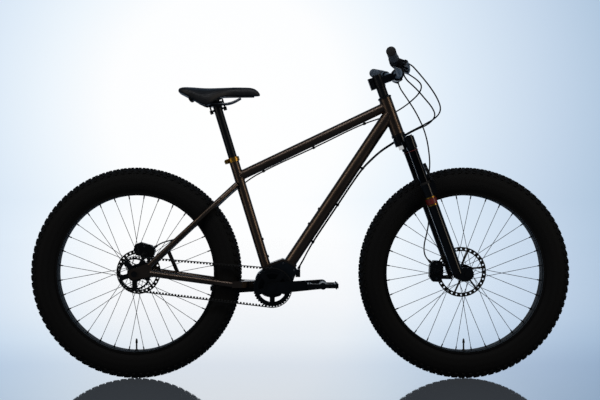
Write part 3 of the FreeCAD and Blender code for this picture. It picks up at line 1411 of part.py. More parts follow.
def fork_lowers(front_arms):
    """Two lower legs bored for the stanchions, with forward dropouts and a front arch."""
    pieces = []
    bores = []
    wipers = []
    for sign in (-1, 1):
        side = f"({sign} * leg_spread / 2)"
        foot = steer("lower_foot", "leg_ahead", side)
        top = steer("lower_top", "leg_ahead", side)
        pieces.append(rod("LowerLeg", foot, top, "lower_od / 2"))
        near = mm("front_hub_spread / 2 + lower_od / 2 - small_gap") if sign > 0 else -mm("front_hub_spread / 2")
        depth = "lower_od / 2 - small_gap"
        back = FRONT_AXLE - steer("lower_foot", "leg_ahead")
        reach = "sqrt((fork_offset - leg_ahead) ^ 2 + lower_foot ^ 2)"
        turn = Rotation(LEFT, math.degrees(math.atan2(-back.z, back.x)))
        start = steer("lower_foot", "leg_ahead")
        pieces.append(plate("LowerFoot", Placement(Vector(start.x, near, start.z), turn.multiply(TO_SIDE)),
                            [link_loop(reach, "lower_od", "lower_foot_od")], depth))
        bores.append(rod("LowerBore", steer("lower_top - stanchion_overlap - cut_over * 2", "leg_ahead",
                                            side),
                         steer("lower_top + cut_over", "leg_ahead", side), "stanchion_od / 2 + slip_fit"))
        wipers.append(turned("Wiper", STEERING.multiply(Placement(spot("leg_ahead", side, "lower_top"),
                                                                  Rotation())),
                             [("stanchion_od / 2 + slip_fit", 0), ("lower_od / 2", 0),
                              ("lower_od / 2 - stanchion_wall", "wiper_height"),
                              ("stanchion_od / 2 + slip_fit", "wiper_height")]))
    bores.append(rod("LowerAxleBore", FRONT_AXLE - LEFT * mm("front_hub_spread"),
                     FRONT_AXLE + LEFT * mm("front_hub_spread"),
                     "front_axle_od / 2 + slip_fit"))
    node("fork_lowers", cut("ForkLowers", fuse("LowersCasting", *pieces, arch(), *front_arms), *bores))
    node("fork_wipers", group("ForkWipers", *wipers))
    node("front_axle", axle_bolt("FrontAxle", FRONT_AXLE, "front_hub_spread / 2 + lower_od / 2 - small_gap",
                                 "front_axle_od"))


def arch():
    """Arch in front of the legs, drawn across the bicycle and thick along the fork."""
    half, foot_low = "leg_spread / 2", "-arch_foot"
    outer, inner = f"({half} + lower_od / 4)", f"({half} - lower_od / 2)"
    rise, band = "arch_rise", "arch_band"
    spring, shoulder = f"{rise} * {ARCH_SPRING_SHARE}", f"{rise} * {ARCH_SHOULDER_SHARE}"
    loop = [(f"-{outer}", foot_low), (f"-{inner}", foot_low), (f"-{inner}", spring),
            (f"-{inner} * {ARCH_INNER_SHARE}", f"{rise} - {band}"),
            (f"{inner} * {ARCH_INNER_SHARE}", f"{rise} - {band}"),
            (inner, spring), (inner, foot_low), (outer, foot_low), (outer, shoulder),
            (f"{inner} * {ARCH_OUTER_SHARE}", rise), (f"-{inner} * {ARCH_OUTER_SHARE}", rise),
            (f"-{outer}", shoulder)]
    across = STEERING.multiply(Placement(spot("arch_ahead", 0, "lower_top"),
                                         Rotation(LEFT, UP, AHEAD, "ZXY")))
    feet = []
    for sign in (-1, 1):
        at = spot("(leg_ahead + arch_ahead) / 2", f"{sign} * leg_spread / 2", "lower_top - arch_foot / 2")
        feet.append(block("ArchFoot", STEERING.multiply(Placement(at, Rotation())),
                          "arch_ahead - leg_ahead",
                          f"lower_od * {ARCH_FOOT_SHARE}", "arch_foot"))
    return fuse("ArchCasting", plate("Arch", across, [loop], "arch_thickness"), *feet)


# Stem, bar and controls
def cockpit():
    rings = []
    for index in range(int(mm("spacer_count"))):
        start = f"{CUP_TOP} + {index} * spacer_height"
        rings.append(turned("Spacer", STEERING, ring_profile("steerer_od / 2 + slip_fit", "spacer_od / 2",
                                                             start,
                                                             f"{start} + spacer_height")))
    stem_top = f"({STEM_FOOT} + stem_height)"
    rings.append(rod("TopCap", steer(stem_top), steer(f"{stem_top} + top_cap_height"), "spacer_od / 2"))
    node("headset_spacers", group("HeadsetSpacers", *rings))
    bar_at = steer(STEM_AT, "stem_length")
    half_clamp = LEFT * mm("bar_clamp_width / 2")
    over = LEFT * mm("cut_over")
    beam_at = STEERING.multiply(Placement(spot("stem_length / 2", 0, STEM_AT), Rotation()))
    core = rod("StemClamp", steer(STEM_FOOT), steer(stem_top), "stem_clamp_od / 2")
    beam = block("StemBeam", beam_at, "stem_length", "stem_beam_width", "stem_beam_height")
    ear_at = STEERING.multiply(Placement(spot("-(stem_clamp_od + stem_ear) / 2 + slip_fit", 0, STEM_AT),
                                         Rotation()))
    ear = block("StemEar", ear_at, "stem_ear", "stem_ear_width", "stem_height")
    clamp = rod("StemBarClamp", bar_at - half_clamp, bar_at + half_clamp, "bar_clamp_od / 2")
    steerer_bore = rod("StemSteererBore", steer(f"{STEM_FOOT} - cut_over"), steer(f"{stem_top} + cut_over"),
                       "steerer_od / 2 + slip_fit")
    bar_bore = rod("StemBarBore", bar_at - half_clamp - over, bar_at + half_clamp + over,
                   "bar_centre_od / 2 + slip_fit")
    front_half = block("FrontHalf", STEERING.multiply(Placement(spot("stem_length + bar_clamp_od / 2", 0,
                                                                     STEM_AT),
                                                                Rotation())),
                       "bar_clamp_od", "2 * bar_clamp_width", "2 * bar_clamp_od")
    node("stem", cut("Stem", fuse("StemForging", core, beam, ear, clamp), steerer_bore, bar_bore,
                     front_half))
    shell = cut("FaceplateRing", rod("FaceplateRound", bar_at - half_clamp, bar_at + half_clamp,
                                     "bar_clamp_od / 2"),
                rod("FaceplateBore", bar_at - half_clamp - over, bar_at + half_clamp + over,
                    "bar_centre_od / 2 + slip_fit"))
    gap_half = block("FaceplateHalf", STEERING.multiply(Placement(
        spot("stem_length + bar_clamp_od / 2 + faceplate_gap", 0, STEM_AT), Rotation())),
        "bar_clamp_od", "2 * bar_clamp_width", "2 * bar_clamp_od")
    face = common("Faceplate", shell, gap_half)
    bolts = []
    for side in (-1, 1):
        for up in (-1, 1):
            start = f"stem_length + faceplate_gap"
            height = f"{STEM_AT} + {up} * (bar_centre_od / 2 + stem_bolt_od / 2 - slip_fit)"
            y = f"{side} * (bar_clamp_width / 2 - stem_bolt_od / 2)"
            bolts.append(rod("FaceBolt", steer(height, f"{start} + stem_bolt_length", y),
                             steer(height, start, y),
                             "stem_bolt_od / 2"))
    for up in (-1, 1):
        height = f"{STEM_AT} + {up} * stem_height / 4"
        ahead = "-(stem_clamp_od + stem_ear) / 2"
        bolts.append(rod("RearBolt", steer(height, ahead, "-stem_ear_width / 2 - stem_bolt_od / 2"),
                         steer(height, ahead, "-stem_ear_width / 2"), "stem_bolt_od / 2"))
    node("stem_faceplate", group("FaceplateSet", fuse("FaceplateBolted", face, *bolts[:4]), *bolts[4:]))
    return bar_at


def arm_frame(bar_at, side):
    """Frame of one bar arm: its height runs outwards along the arm and its x leads towards the lever."""
    sweep, rise = math.radians(mm("bar_sweep_angle")), math.radians(mm("bar_rise_angle"))
    out = Vector(-math.tan(sweep), side, math.tan(rise)).normalize()
    drop = math.radians(mm("lever_drop_angle"))
    lead = Vector(math.cos(drop), 0, -math.sin(drop))
    lead = (lead - out * lead.dot(out)).normalize()
    return Placement(bar_at + LEFT * side * mm("bar_bend_at"), Rotation(lead, out.cross(lead), out, "ZXY"))


def handlebar(bar_at):
    left, right = arm_frame(bar_at, 1), arm_frame(bar_at, -1)
    end = UP * mm(BAR_ARM)
    points = [right.multVec(end), right.Base, left.Base, left.multVec(end)]
    path = bar_path(points)
    pipe = doc.addObject("Part::Feature", "BarPipe")
    pipe.Shape = swept_round(path, mm("bar_od / 2"))
    half = LEFT * mm("bar_centre_width / 2")
    taper = LEFT * mm("bar_taper")
    middle = rod("BarCentre", bar_at - half, bar_at + half, "bar_centre_od / 2")
    cones = [cone("BarTaper", bar_at + half * side, bar_at + (half + taper) * side, "bar_centre_od / 2",
                  "bar_od / 2")
             for side in (-1, 1)]
    bore = doc.addObject("Part::Feature", "BarBore")
    bore.Shape = swept_round(path, mm("bar_od / 2 - bar_wall"))
    node("handlebar", cut("Handlebar", fuse("BarSolid", pipe, middle, *cones), bore))
    return left, right


def bar_path(points):
    """Middle line of the bar: three straight runs and two bends of the same radius."""
    edges = []
    at = points[0]
    for before, corner, after in zip(points, points[1:], points[2:]):
        back, on = (before - corner).normalize(), (after - corner).normalize()
        half_turn = (math.pi - back.getAngle(on)) / 2
        reach = mm("bar_bend_radius") * math.tan(half_turn)
        inward = (back + on).normalize()
        middle = corner + inward * mm("bar_bend_radius") * (1 / math.cos(half_turn) - 1)
        edges.append(Part.LineSegment(at, corner + back * reach).toShape())
        edges.append(Part.Arc(corner + back * reach, middle, corner + on * reach).toShape())
        at = corner + on * reach
    edges.append(Part.LineSegment(at, points[-1]).toShape())
    return Part.Wire(edges)


def ribbed_profile(bore, outer, depth, ribs, start, length):
    """Profile of a sleeve with evenly spaced raised ribs."""
    profile = [(bore, start)]
    step = f"({length} / (2 * {ribs} + 1))"
    count = int(mm(ribs))
    profile.append((outer, start))
    for index in range(count):
        low, high = 2 * index + 1, 2 * index + 2
        profile += [(outer, f"{start} + {low} * {step}"), (f"{outer} - {depth}",
                                                           f"{start} + {low} * {step}"),
                    (f"{outer} - {depth}", f"{start} + {high} * {step}"),
                    (outer, f"{start} + {high} * {step}")]
    profile += [(outer, f"{start} + {length}"), (bore, f"{start} + {length}")]
    return profile


def controls(left, right):
    bore = "bar_od / 2 + slip_fit"
    end = BAR_ARM
    grips = []
    for name, place, length in (("GripLeft", left, "grip_length"),
                                ("GripRight", right, "short_grip_length")):
        grips.append(turned(name, place, ribbed_profile(bore, "grip_od / 2", "grip_rib_depth", "grip_ribs",
                                                        f"{end} - {length}", length)))
        grips.append(turned(name + "Cap", place, [(0, end), ("grip_od / 2", end),
                                                  ("grip_od / 2 - grip_rib_depth", f"{end} + grip_cap"),
                                                  (0, f"{end} + grip_cap")]))
    node("grips", group("Grips", *grips))
    shifter_end = f"{end} - short_grip_length - small_gap"
    twist = turned("TwistShifter", right, ring_profile(bore, "shifter_od / 2",
                                                       f"{shifter_end} - shifter_length", shifter_end))
    rib = body_ribs(twist, f"{shifter_end} - shifter_length")
    node("twist_shifter", rib)
    housing_end = SHIFTER_AT
    housing = turned("ShifterHousing", right, ring_profile(bore, "housing_od / 2",
                                                           f"{housing_end} - housing_length", housing_end))
    outlet_at = right.multiply(Placement(spot("housing_od / 2", 0, f"{housing_end} - housing_length / 2"),
                                         Rotation()))
    outlet = block("CableOutlet", outlet_at, "housing_box", "housing_box_height", "housing_length")
    hole = rod("OutletBore", right.multVec(spot(0, 0, f"{housing_end} - cut_over")),
               right.multVec(spot(0, 0, f"{housing_end} + cut_over")), bore)
    bodies = [cut("ShifterHousingFitted", fuse("ShifterHousingBody", housing, outlet), hole)]
    for name, place in (("Left", left), ("Right", right)):
        bodies.append(lever_body(name, place))
        node(f"brake_lever_{name.lower()}", lever_blade(name, place))
    node("control_bodies", group("ControlBodies", *bodies))


def body_ribs(twist, start):
    """Raised ribs along the twist grip, repeated round it."""
    holes_at = ("circle", "shifter_od / 2 + shifter_rib_depth / 2", 0, "shifter_rib_depth")
    pocket = twist.newObject("PartDesign::Pocket", twist.Name + "Pocket")
    pocket.Profile = sketch_on(twist, "XY_Plane", [holes_at])
    pocket.Reversed = True
    pocket.Type = 1
    pattern(twist, pocket, "shifter_ribs")
    return twist


def lever_body(name, place):
    """Bar clamp and master cylinder of one brake lever, with the lever's pivot ears."""
    at = LEVER_AT
    ring = rod(f"LeverClamp{name}", place.multVec(spot(0, 0, f"{at} - lever_clamp_width / 2")),
               place.multVec(spot(0, 0, f"{at} + lever_clamp_width / 2")), "lever_clamp_od / 2")
    cylinder = rod(f"LeverCylinder{name}", place.multVec(spot("cylinder_ahead", 0,
                                                              f"{at} - cylinder_inwards")),
                   place.multVec(spot("cylinder_ahead", 0, f"{at} + cylinder_outwards")), "cylinder_od / 2")
    neck_at = place.multiply(Placement(spot("cylinder_ahead / 2", 0, at), Rotation()))
    neck = block(f"LeverNeck{name}", neck_at, "cylinder_ahead", "lever_clamp_width", "lever_clamp_width")
    ears = []
    for sign in (-1, 1):
        ear_at = place.multiply(Placement(spot("(cylinder_ahead + lever_pivot_ahead) / 2",
                                               f"{sign} * (lever_height / 2 + small_gap + lever_pivot_od / 4)",
                                               f"{at} + lever_pivot_out"), Rotation()))
        ears.append(block(f"LeverEar{name}", ear_at, "lever_pivot_ahead - cylinder_ahead + lever_pivot_od",
                          "lever_pivot_od / 2", f"lever_root_od * {LEVER_EAR_SHARE}"))
    pin = rod(f"LeverPin{name}", place.multVec(spot("lever_pivot_ahead", "-lever_height",
                                                    f"{at} + lever_pivot_out")),
              place.multVec(spot("lever_pivot_ahead", "lever_height", f"{at} + lever_pivot_out")),
              "lever_pivot_od / 2 - slip_fit")
    over = spot(0, 0, "cut_over")
    bore = rod(f"LeverClampBore{name}", place.multVec(spot(0, 0, at) - over),
               place.multVec(spot(0, 0, at) + over),
               "bar_od / 2 + slip_fit")
    return cut(f"LeverBody{name}", fuse(f"LeverBodySolid{name}", ring, cylinder, neck, pin, *ears), bore)


def lever_blade(name, place):
    """Lever blade outwards from its pivot, drawn flat in the plane of the bar and the lever."""
    at = f"({LEVER_AT} + lever_pivot_out)"
    flat = place.multiply(Placement(spot("lever_pivot_ahead", "lever_height / 2", at),
                                    Rotation(LEFT, -90).multiply(TO_SIDE)))
    loop = link_loop("lever_span", "lever_root_od", "lever_tip_od")
    return plate(f"LeverBlade{name}", flat, [loop, ("circle", 0, 0, "lever_pivot_od / 2")], "lever_height")


# Seatpost and saddle
def seat_parts():
    node("seatpost", tube("Seatpost", seat("seatpost_bottom"), seat("seatpost_top"), "seatpost_od / 2",
                          "seatpost_od / 2 - seatpost_wall"))
    rails_at = seat("rail_clamp_at")
    collar_parts()
    saddle_clamp(rails_at)
    saddle(rails_at)


def collar_parts():
    start, end = "seat_tube_top - collar_height + collar_slot", "seat_tube_top + collar_slot"
    ring = turned("CollarRing", SEATING, [
        ("seat_tube_od / 2 + slip_fit", start), ("collar_od / 2", start), ("collar_od / 2", end),
        ("seatpost_od / 2 + small_gap", end), ("seatpost_od / 2 + small_gap", "seat_tube_top + slip_fit"),
        ("seat_tube_od / 2 + slip_fit", "seat_tube_top + slip_fit")])
    middle = "seat_tube_top + collar_slot - collar_height / 2"
    ear_at = SEATING.multiply(Placement(spot("-collar_od / 2 - collar_ear / 2 + collar_slot", 0, middle),
                                        Rotation()))
    ears = block("CollarEars", ear_at, "collar_ear + collar_slot", "2 * collar_ear", "collar_height")
    slot = block("CollarSlot", ear_at, "4 * collar_ear", "collar_slot", "2 * collar_height")
    bolt_at = "(-collar_od / 2 - collar_ear / 2)"
    pivot = "(collar_ear + collar_cam_od / 2 + small_gap / 2)"
    bolt = rod("CollarBolt", seat(middle, bolt_at, "-2 * collar_ear"),
               seat(middle, bolt_at, f"{pivot} + collar_bolt_od / 2"), "collar_bolt_od / 2")
    nut = rod("CollarNut", seat(middle, bolt_at, "-2 * collar_ear"), seat(middle, bolt_at, "-collar_ear"),
              "collar_cam_od / 2")
    pin = rod("CollarPin", seat(f"{middle} - collar_lever_height / 2", bolt_at, pivot),
              seat(f"{middle} + collar_lever_height / 2", bolt_at, pivot), "collar_bolt_od / 4 + slip_fit")
    post_core = rod("CollarPostCore", seat(start), seat("seatpost_top"), "seat_tube_od / 2 + slip_fit")
    ears_cut = cut("CollarEarsFitted", ears, slot, post_core)
    node("seat_collar", fuse("SeatCollar", cut("CollarSplit", ring, slot), ears_cut, bolt, nut, pin))
    low = f"{middle} - collar_lever_height / 2"
    hole = ("circle", bolt_at, pivot, "collar_bolt_od / 4 + 2 * slip_fit")
    lever = plate("CollarLever", SEATING.multiply(Placement(spot(0, 0, low), Rotation())),
                  [collar_lever_loop(bolt_at, pivot), hole], "collar_lever_height")
    fork_at = SEATING.multiply(Placement(spot(f"{bolt_at} - collar_cam_od / 2", pivot, middle), Rotation()))
    fork = block("CollarLeverFork", fork_at, "2 * collar_cam_od - collar_slot", "4 * collar_cam_od",
                 "collar_bolt_od + 2 * small_gap")
    node("collar_lever", cut("CollarLeverFitted", lever, fork))


def collar_lever_loop(cam_x, cam_y):
    """Curved lever hugging the left side of the collar, round about its cam, seen along the seat tube."""
    cam = "(collar_cam_od / 2 - small_gap / 2)"
    inner = "(collar_od / 2 + collar_lever_gap)"
    outer = f"({inner} + collar_lever_width)"
    return [(cam_x, f"{cam_y} - {cam}"), (f"-{inner} * cos(collar_wrap_angle)",
                                          f"{inner} * sin(collar_wrap_angle)", inner, -1),
            (f"{inner} * cos(collar_wrap_angle)", f"{inner} * sin(collar_wrap_angle)"),
            (f"{outer} * cos(collar_wrap_angle)", f"{outer} * sin(collar_wrap_angle)", outer, 1),
            (f"-{outer} * cos(collar_wrap_angle)", f"{outer} * sin(collar_wrap_angle)"),
            (cam_x, f"{cam_y} + {cam}", cam, 1),
            (f"{cam_x} - {cam}", cam_y, cam, 1)]


def saddle_clamp(rails_at):
    flat = Placement(rails_at, Rotation())
    lower_at = flat.multiply(Placement(spot(0, 0, "-rail_od / 2 - clamp_plate / 2 - slip_fit"), Rotation()))
    upper_at = flat.multiply(Placement(spot(0, 0, "rail_od / 2 + clamp_plate / 2 + slip_fit"), Rotation()))
    lower = block("ClampLower", lower_at, "clamp_length", "clamp_width", "clamp_plate")
    upper = block("ClampUpper", upper_at, "clamp_length", f"clamp_width * {CLAMP_TOP_SHARE}", "clamp_plate")
    yoke = rod("ClampHead", seat("seatpost_top"), seat("rail_clamp_at - rail_od / 2"), "seatpost_od / 2")
    lug_at = SEATING.multiply(Placement(spot(0, 0, "seatpost_top + clamp_plate / 2"), Rotation()))
    lug = block("ClampLug", lug_at, "clamp_bolt_spread + clamp_bolt_head_od", "clamp_bolt_head_od",
                "clamp_plate")
    bolts = []
    run = SEATING.Rotation.multVec(UP)
    for sign in (-1, 1):
        head = seat("seatpost_top - small_gap", f"{sign} * clamp_bolt_spread / 2")
        bolts.append(rod("ClampBoltHead", head - run * mm("clamp_bolt_od"), head, "clamp_bolt_head_od / 2"))
        bolts.append(rod("ClampBolt", head, head + run * mm("clamp_bolt_length"), "clamp_bolt_od / 2"))
    holes_run = [rod("ClampBoltHole", seat("seatpost_top - cut_over", f"{sign} * clamp_bolt_spread / 2"),
                     seat("seatpost_top + cut_over", f"{sign} * clamp_bolt_spread / 2"),
                     "clamp_bolt_od / 2 + slip_fit")
                 for sign in (-1, 1)]
    top_clear = block("ClampClear", flat, "2 * clamp_length", "2 * clamp_width", "rail_od + 2 * slip_fit")
    head_solid = cut("ClampHeadFitted", fuse("ClampHeadSolid", yoke, lug, lower), *holes_run, top_clear)
    upper_cut = cut("ClampUpperFitted", upper, *[rod("ClampUpperHole", seat("seatpost_top - cut_over",
                                                                            f"{sign} * clamp_bolt_spread / 2"),
                                                    seat("seatpost_top + cut_over",
                                                         f"{sign} * clamp_bolt_spread / 2"),
                                                    "clamp_bolt_od / 2 + slip_fit") for sign in (-1, 1)])
    bolt_sets = [fuse("ClampBoltSet", bolts[0], bolts[1]), fuse("ClampBoltSet", bolts[2], bolts[3])]
    node("saddle_clamp", group("SaddleClamp", head_solid, upper_cut, *bolt_sets))


def saddle_section(origin, place, half, top, low):
    """Closed section across the saddle: flat underside, drawn-in sides and a crowned top."""
    x = origin.x + place
    waist = low + (top - low) * SADDLE_BELLY_SHARE
    edge = half * SADDLE_EDGE_SHARE
    shoulder = low + (top - low) * SADDLE_CROWN_SHARE
    under = half * SADDLE_WAIST_SHARE
    left = [Vector(x, under, low), Vector(x, half, waist), Vector(x, edge, shoulder)]
    right = [Vector(point.x, -point.y, point.z) for point in reversed(left)]
    edges = [Part.Arc(*left).toShape(), Part.Arc(left[2], Vector(x, 0, top), right[0]).toShape(),
             Part.Arc(*right).toShape(), Part.LineSegment(right[2], left[0]).toShape()]
    return Part.Wire(edges)


def saddle_form(origin):
    """Loft through the saddle's stations from tail to nose."""
    wires = []
    length, width, depth = mm("saddle_length"), mm("saddle_width / 2"), mm("saddle_depth")
    for place_share, half_share, top_share, low_share in SADDLE_SHARES:
        wires.append(saddle_section(origin, place_share * length, half_share * width,
                                    origin.z + top_share * depth, origin.z + low_share * depth))
    piece = doc.addObject("Part::Feature", "SaddleForm")
    piece.Shape = Part.makeLoft(wires, True, False)
    return piece


def saddle_plan(name, origin, inset, low, depth):
    """Flat piece inside the saddle's outline in plan, drawn in by the inset."""
    right = [(f"{place} * saddle_length", f"{inset} - {half} * saddle_width / 2")
             for place, half, _, _ in SADDLE_SHARES[2:10]]
    left = [(x, f"-({y})") for x, y in reversed(right)]
    return plate(name, Placement(origin + spot(0, 0, low), Rotation()), [right + left], depth)


def saddle(rails_at):
    origin = rails_at + spot("-saddle_behind_clamp", 0, "-saddle_below_rails")
    hollow = saddle_plan("SaddleHollow", origin, "saddle_skirt", "-cut_over",
                         "cut_over + saddle_base_height")
    node("saddle_cover", cut("SaddleCover", saddle_form(origin), hollow))
    node("saddle_base", saddle_plan("SaddleBase", origin, "(saddle_skirt + small_gap)",
                                    "saddle_base_height - saddle_base_thickness - small_gap / 2",
                                    "saddle_base_thickness"))
    under = origin.z + mm("saddle_base_height - saddle_base_thickness - small_gap / 2 - rail_od / 2")
    rails = []
    length = mm("saddle_length")
    half = mm("rail_spread / 2")
    for sign in (-1, 1):
        points = [Vector(origin.x + place * length, sign * half * spread,
                         rails_at.z + (under - rails_at.z) * rise)
                  for place, rise, spread in RAIL_SHARES]
        rails.append(bent("SaddleRail", points, "rail_od / 2"))
    node("saddle_rails", group("SaddleRails", *rails))


def check_and_export():
    doc.recompute()
    for item in doc.Objects:
        if "Invalid" in item.State or "Error" in item.State:
            raise RuntimeError(f"{item.Name} failed: {item.State}")
    for piece in NODES:
        if piece.Shape.isNull() or not piece.Shape.isValid() or not piece.Shape.Solids:
            raise RuntimeError(f"{piece.Label} has no valid solid")
    os.makedirs("parts", exist_ok=True)
    for piece in NODES:
        piece.Shape.exportStep(os.path.join("parts", piece.Label + ".step"))
        print(piece.Label, len(piece.Shape.Solids), round(piece.Shape.Volume))


def build():
    seat_core = frame_tubes()
    gearbox()
    bracket_and_yoke()
    left_dropout = stays(seat_core)
    headset()
    front_pulley()
    rear_pulley()
    belt()
    cranks()
    node("pedal_right", pedal(-1))
    node("pedal_left", pedal(1))
    wheels()
    front_arms = brakes(left_dropout)
    fork_upper()
    fork_lowers(front_arms)
    bar_at = cockpit()
    left, right = handlebar(bar_at)
    controls(left, right)
    hoses(left, right)
    seat_parts()
    check_and_export()


build()
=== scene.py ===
import json
import math

import bpy
from mathutils import Matrix, Vector


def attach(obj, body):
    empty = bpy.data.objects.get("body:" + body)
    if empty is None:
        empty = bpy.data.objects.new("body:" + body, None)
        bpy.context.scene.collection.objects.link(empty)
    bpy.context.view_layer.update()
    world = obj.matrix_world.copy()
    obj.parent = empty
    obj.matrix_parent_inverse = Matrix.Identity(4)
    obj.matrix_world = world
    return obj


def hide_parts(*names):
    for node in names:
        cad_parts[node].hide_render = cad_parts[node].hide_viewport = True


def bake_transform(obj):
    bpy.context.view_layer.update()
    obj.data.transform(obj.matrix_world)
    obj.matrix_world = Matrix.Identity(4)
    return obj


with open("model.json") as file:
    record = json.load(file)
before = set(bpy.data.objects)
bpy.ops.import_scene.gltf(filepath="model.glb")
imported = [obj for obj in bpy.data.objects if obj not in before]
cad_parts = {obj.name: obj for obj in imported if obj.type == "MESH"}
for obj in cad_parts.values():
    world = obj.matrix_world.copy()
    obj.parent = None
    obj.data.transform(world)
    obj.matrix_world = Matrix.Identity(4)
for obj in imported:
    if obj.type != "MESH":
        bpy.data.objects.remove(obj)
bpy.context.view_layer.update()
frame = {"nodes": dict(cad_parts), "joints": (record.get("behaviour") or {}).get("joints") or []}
bpy.ops.object.select_all(action="DESELECT")

MM = 0.001
JOINTS = {joint["name"]: joint for joint in frame["joints"]}
FRONT_AXLE = Vector(JOINTS["front_wheel_spin"]["pos_m"])
REAR_AXLE = Vector(JOINTS["rear_wheel_spin"]["pos_m"])
AXLES = (("front", FRONT_AXLE), ("rear", REAR_AXLE))
CRANK = Vector(JOINTS["crank_spin"]["pos_m"])
STEER_UP = Vector(JOINTS["steering_turn"]["axis"])

SIDES = ((-1, "right"), (1, "left"))
UP = Vector((0, 0, 1))
LEFT = Vector((0, 1, 0))

# Photograph: 600 x 400 pixels, one pixel is 3.561 mm in the plane of the wheels
IMAGE_WIDTH = 600
IMAGE_HEIGHT = 400
PIXEL = 3.561 * MM
CENTRE_COLUMN = 300.07
GROUND_ROW = 378.1
SENSOR = 36
# Camera's distance from the bicycle's middle plane and its step aside, in metres
CAMERA_BACK = 4.7
CAMERA_ASIDE = -0.1
# Pixel at the heart of the glow behind the bicycle
GLOW_COLUMN = 228
GLOW_ROW = 108


# Colours and nodes


def linear(code, alpha=1.0):
    """Linear colour of an sRGB hex value."""
    channels = [int(code[i:i + 2], 16) / 255 for i in (1, 3, 5)]
    worth = [c / 12.92 if c <= 0.04045 else ((c + 0.055) / 1.055) ** 2.4 for c in channels]
    return (*worth, alpha)


def add(tree, kind, settings=None, links=None):
    """Add a node, with its properties and socket values, and link its sockets to outputs."""
    made = tree.nodes.new(kind)
    for key, value in (settings or {}).items():
        if isinstance(key, str) and hasattr(made, key):
            setattr(made, key, value)
        else:
            made.inputs[key].default_value = value
    for key, output in (links or {}).items():
        tree.links.new(output, made.inputs[key])
    return made


def ramp(tree, factor, stops):
    """Colour ramp through (place, hex colour) stops."""
    made = add(tree, "ShaderNodeValToRGB", links={"Fac": factor})
    elements = made.color_ramp.elements
    while len(elements) < len(stops):
        elements.new(0.5)
    for element, (place, code) in zip(elements, stops):
        element.position = place
        element.color = linear(code)
    return made.outputs["Color"]


def new_material(name, settings):
    """Principled material; returns it with its tree, shader and object coordinates."""
    material = bpy.data.materials.new(name)
    material.use_nodes = True
    tree = material.node_tree
    shader = tree.nodes["Principled BSDF"]
    for key, value in settings.items():
        shader.inputs[key].default_value = value
    place = add(tree, "ShaderNodeTexCoord").outputs["Object"]
    return material, tree, shader, place


def per_metre(size_mm):
    """Texture scale at which one pattern cell is the given size."""
    return 1 / (size_mm * MM)


def grained(name, tones, grain_mm, patch_mm, rough, bump, settings):
    """Finish with a fine grain in its gloss and relief and slow patches in its colour."""
    material, tree, shader, place = new_material(name, settings)
    patch = add(tree, "ShaderNodeTexNoise", {"Scale": per_metre(patch_mm), "Detail": 4}, {"Vector": place})
    grain = add(tree, "ShaderNodeTexNoise", {"Scale": per_metre(grain_mm), "Detail": 3}, {"Vector": place})
    tree.links.new(ramp(tree, patch.outputs["Fac"], [(0.3, tones[0]), (0.7, tones[1])]),
                   shader.inputs["Base Color"])
    gloss = add(tree, "ShaderNodeMapRange", {"To Min": rough[0], "To Max": rough[1]},
                {"Value": grain.outputs["Fac"]})
    tree.links.new(gloss.outputs["Result"], shader.inputs["Roughness"])
    relief = add(tree, "ShaderNodeBump", {"Strength": bump, "Distance": 0.1 * grain_mm * MM},
                 {"Height": grain.outputs["Fac"]})
    tree.links.new(relief.outputs["Normal"], shader.inputs["Normal"])
    return material


# Materials, each named for what it is made of


def bare_titanium():
    """Satin titanium tube, bead blasted: warm brown sheen, a dull grain and faint heat tint."""
    return grained("bead_blasted_titanium", ("#564a42", "#66594f"), 0.8, 90, (0.3, 0.38), 0.015,
                   {"Metallic": 1.0})


def anodised_black():
    """Machined aluminium with black anodising: half-metal sheen and a fine blasted grain."""
    return grained("black_anodised_aluminium", ("#0b0e12", "#12161b"), 0.6, 40, (0.30, 0.44), 0.06,
                   {"Metallic": 0.55})


def gearbox_finish():
    """Machined magnesium case with a blue-black coat: tooling grain under a satin skin."""
    return grained("coated_magnesium", ("#0a1016", "#111b24"), 1.4, 35, (0.34, 0.5), 0.12, {"Metallic": 0.5})


def fork_paint():
    """Cast magnesium under gloss black paint: soft orange peel and a clear coat."""
    return grained("gloss_black_paint", ("#050608", "#090b0e"), 2.5, 60, (0.16, 0.22), 0.02,
                   {"Specular IOR Level": 0.3, "Coat Weight": 0.15, "Coat Roughness": 0.1})


def hard_anodised_tube():
    """Ground and hard-anodised slider tube: dark, nearly mirror smooth."""
    return grained("hard_anodised_slider", ("#121316", "#1a1b1f"), 0.4, 50, (0.12, 0.2), 0.02,
                   {"Metallic": 0.85})


def brushed_steel():
    """Brushed stainless steel of bolts, axles and bearings."""
    return grained("brushed_stainless_steel", ("#6d6f73", "#85878b"), 0.5, 25, (0.26, 0.42), 0.06,
                   {"Metallic": 1.0})


def black_steel():
    """Drawn steel spokes with a black oxide skin that lets the steel glint through."""
    return grained("black_oxide_steel", ("#08090a", "#0f1012"), 0.8, 30, (0.4, 0.55), 0.04,
                   {"Metallic": 0.3, "Specular IOR Level": 0.2})


def gold_anodised():
    """Gold anodised aluminium: warm yellow metal with a blasted grain."""
    return grained("gold_anodised_aluminium", ("#a57b2f", "#bd9142"), 0.6, 20, (0.26, 0.38), 0.05,
                   {"Metallic": 1.0})


def red_foil():
    """Dark red printed foil: satin, with a faint mottle."""
    return grained("red_printed_foil", ("#5e1512", "#7a1f19"), 1.0, 12, (0.34, 0.48), 0.03,
                   {"Coat Weight": 0.3})


def moulded_rubber():
    """Moulded grip rubber: matt black with a pebbled skin."""
    return grained("moulded_rubber", ("#0a0a0b", "#111214"), 1.2, 25, (0.62, 0.82), 0.3,
                   {"Specular IOR Level": 0.35})


def grip_rubber_painted_reflection():
    """Grip rubber whose grey-blue colour is a painted reflection of the pale back light: dull, with a pebbled
    skin.
    """
    # Grey-blue tones: painted reflection of the pale back light
    return grained("grip_rubber_with_painted_reflection", ("#4d5762", "#5d6874"), 1.2, 25, (0.5, 0.66), 0.2,
                   {"Specular IOR Level": 0.4})


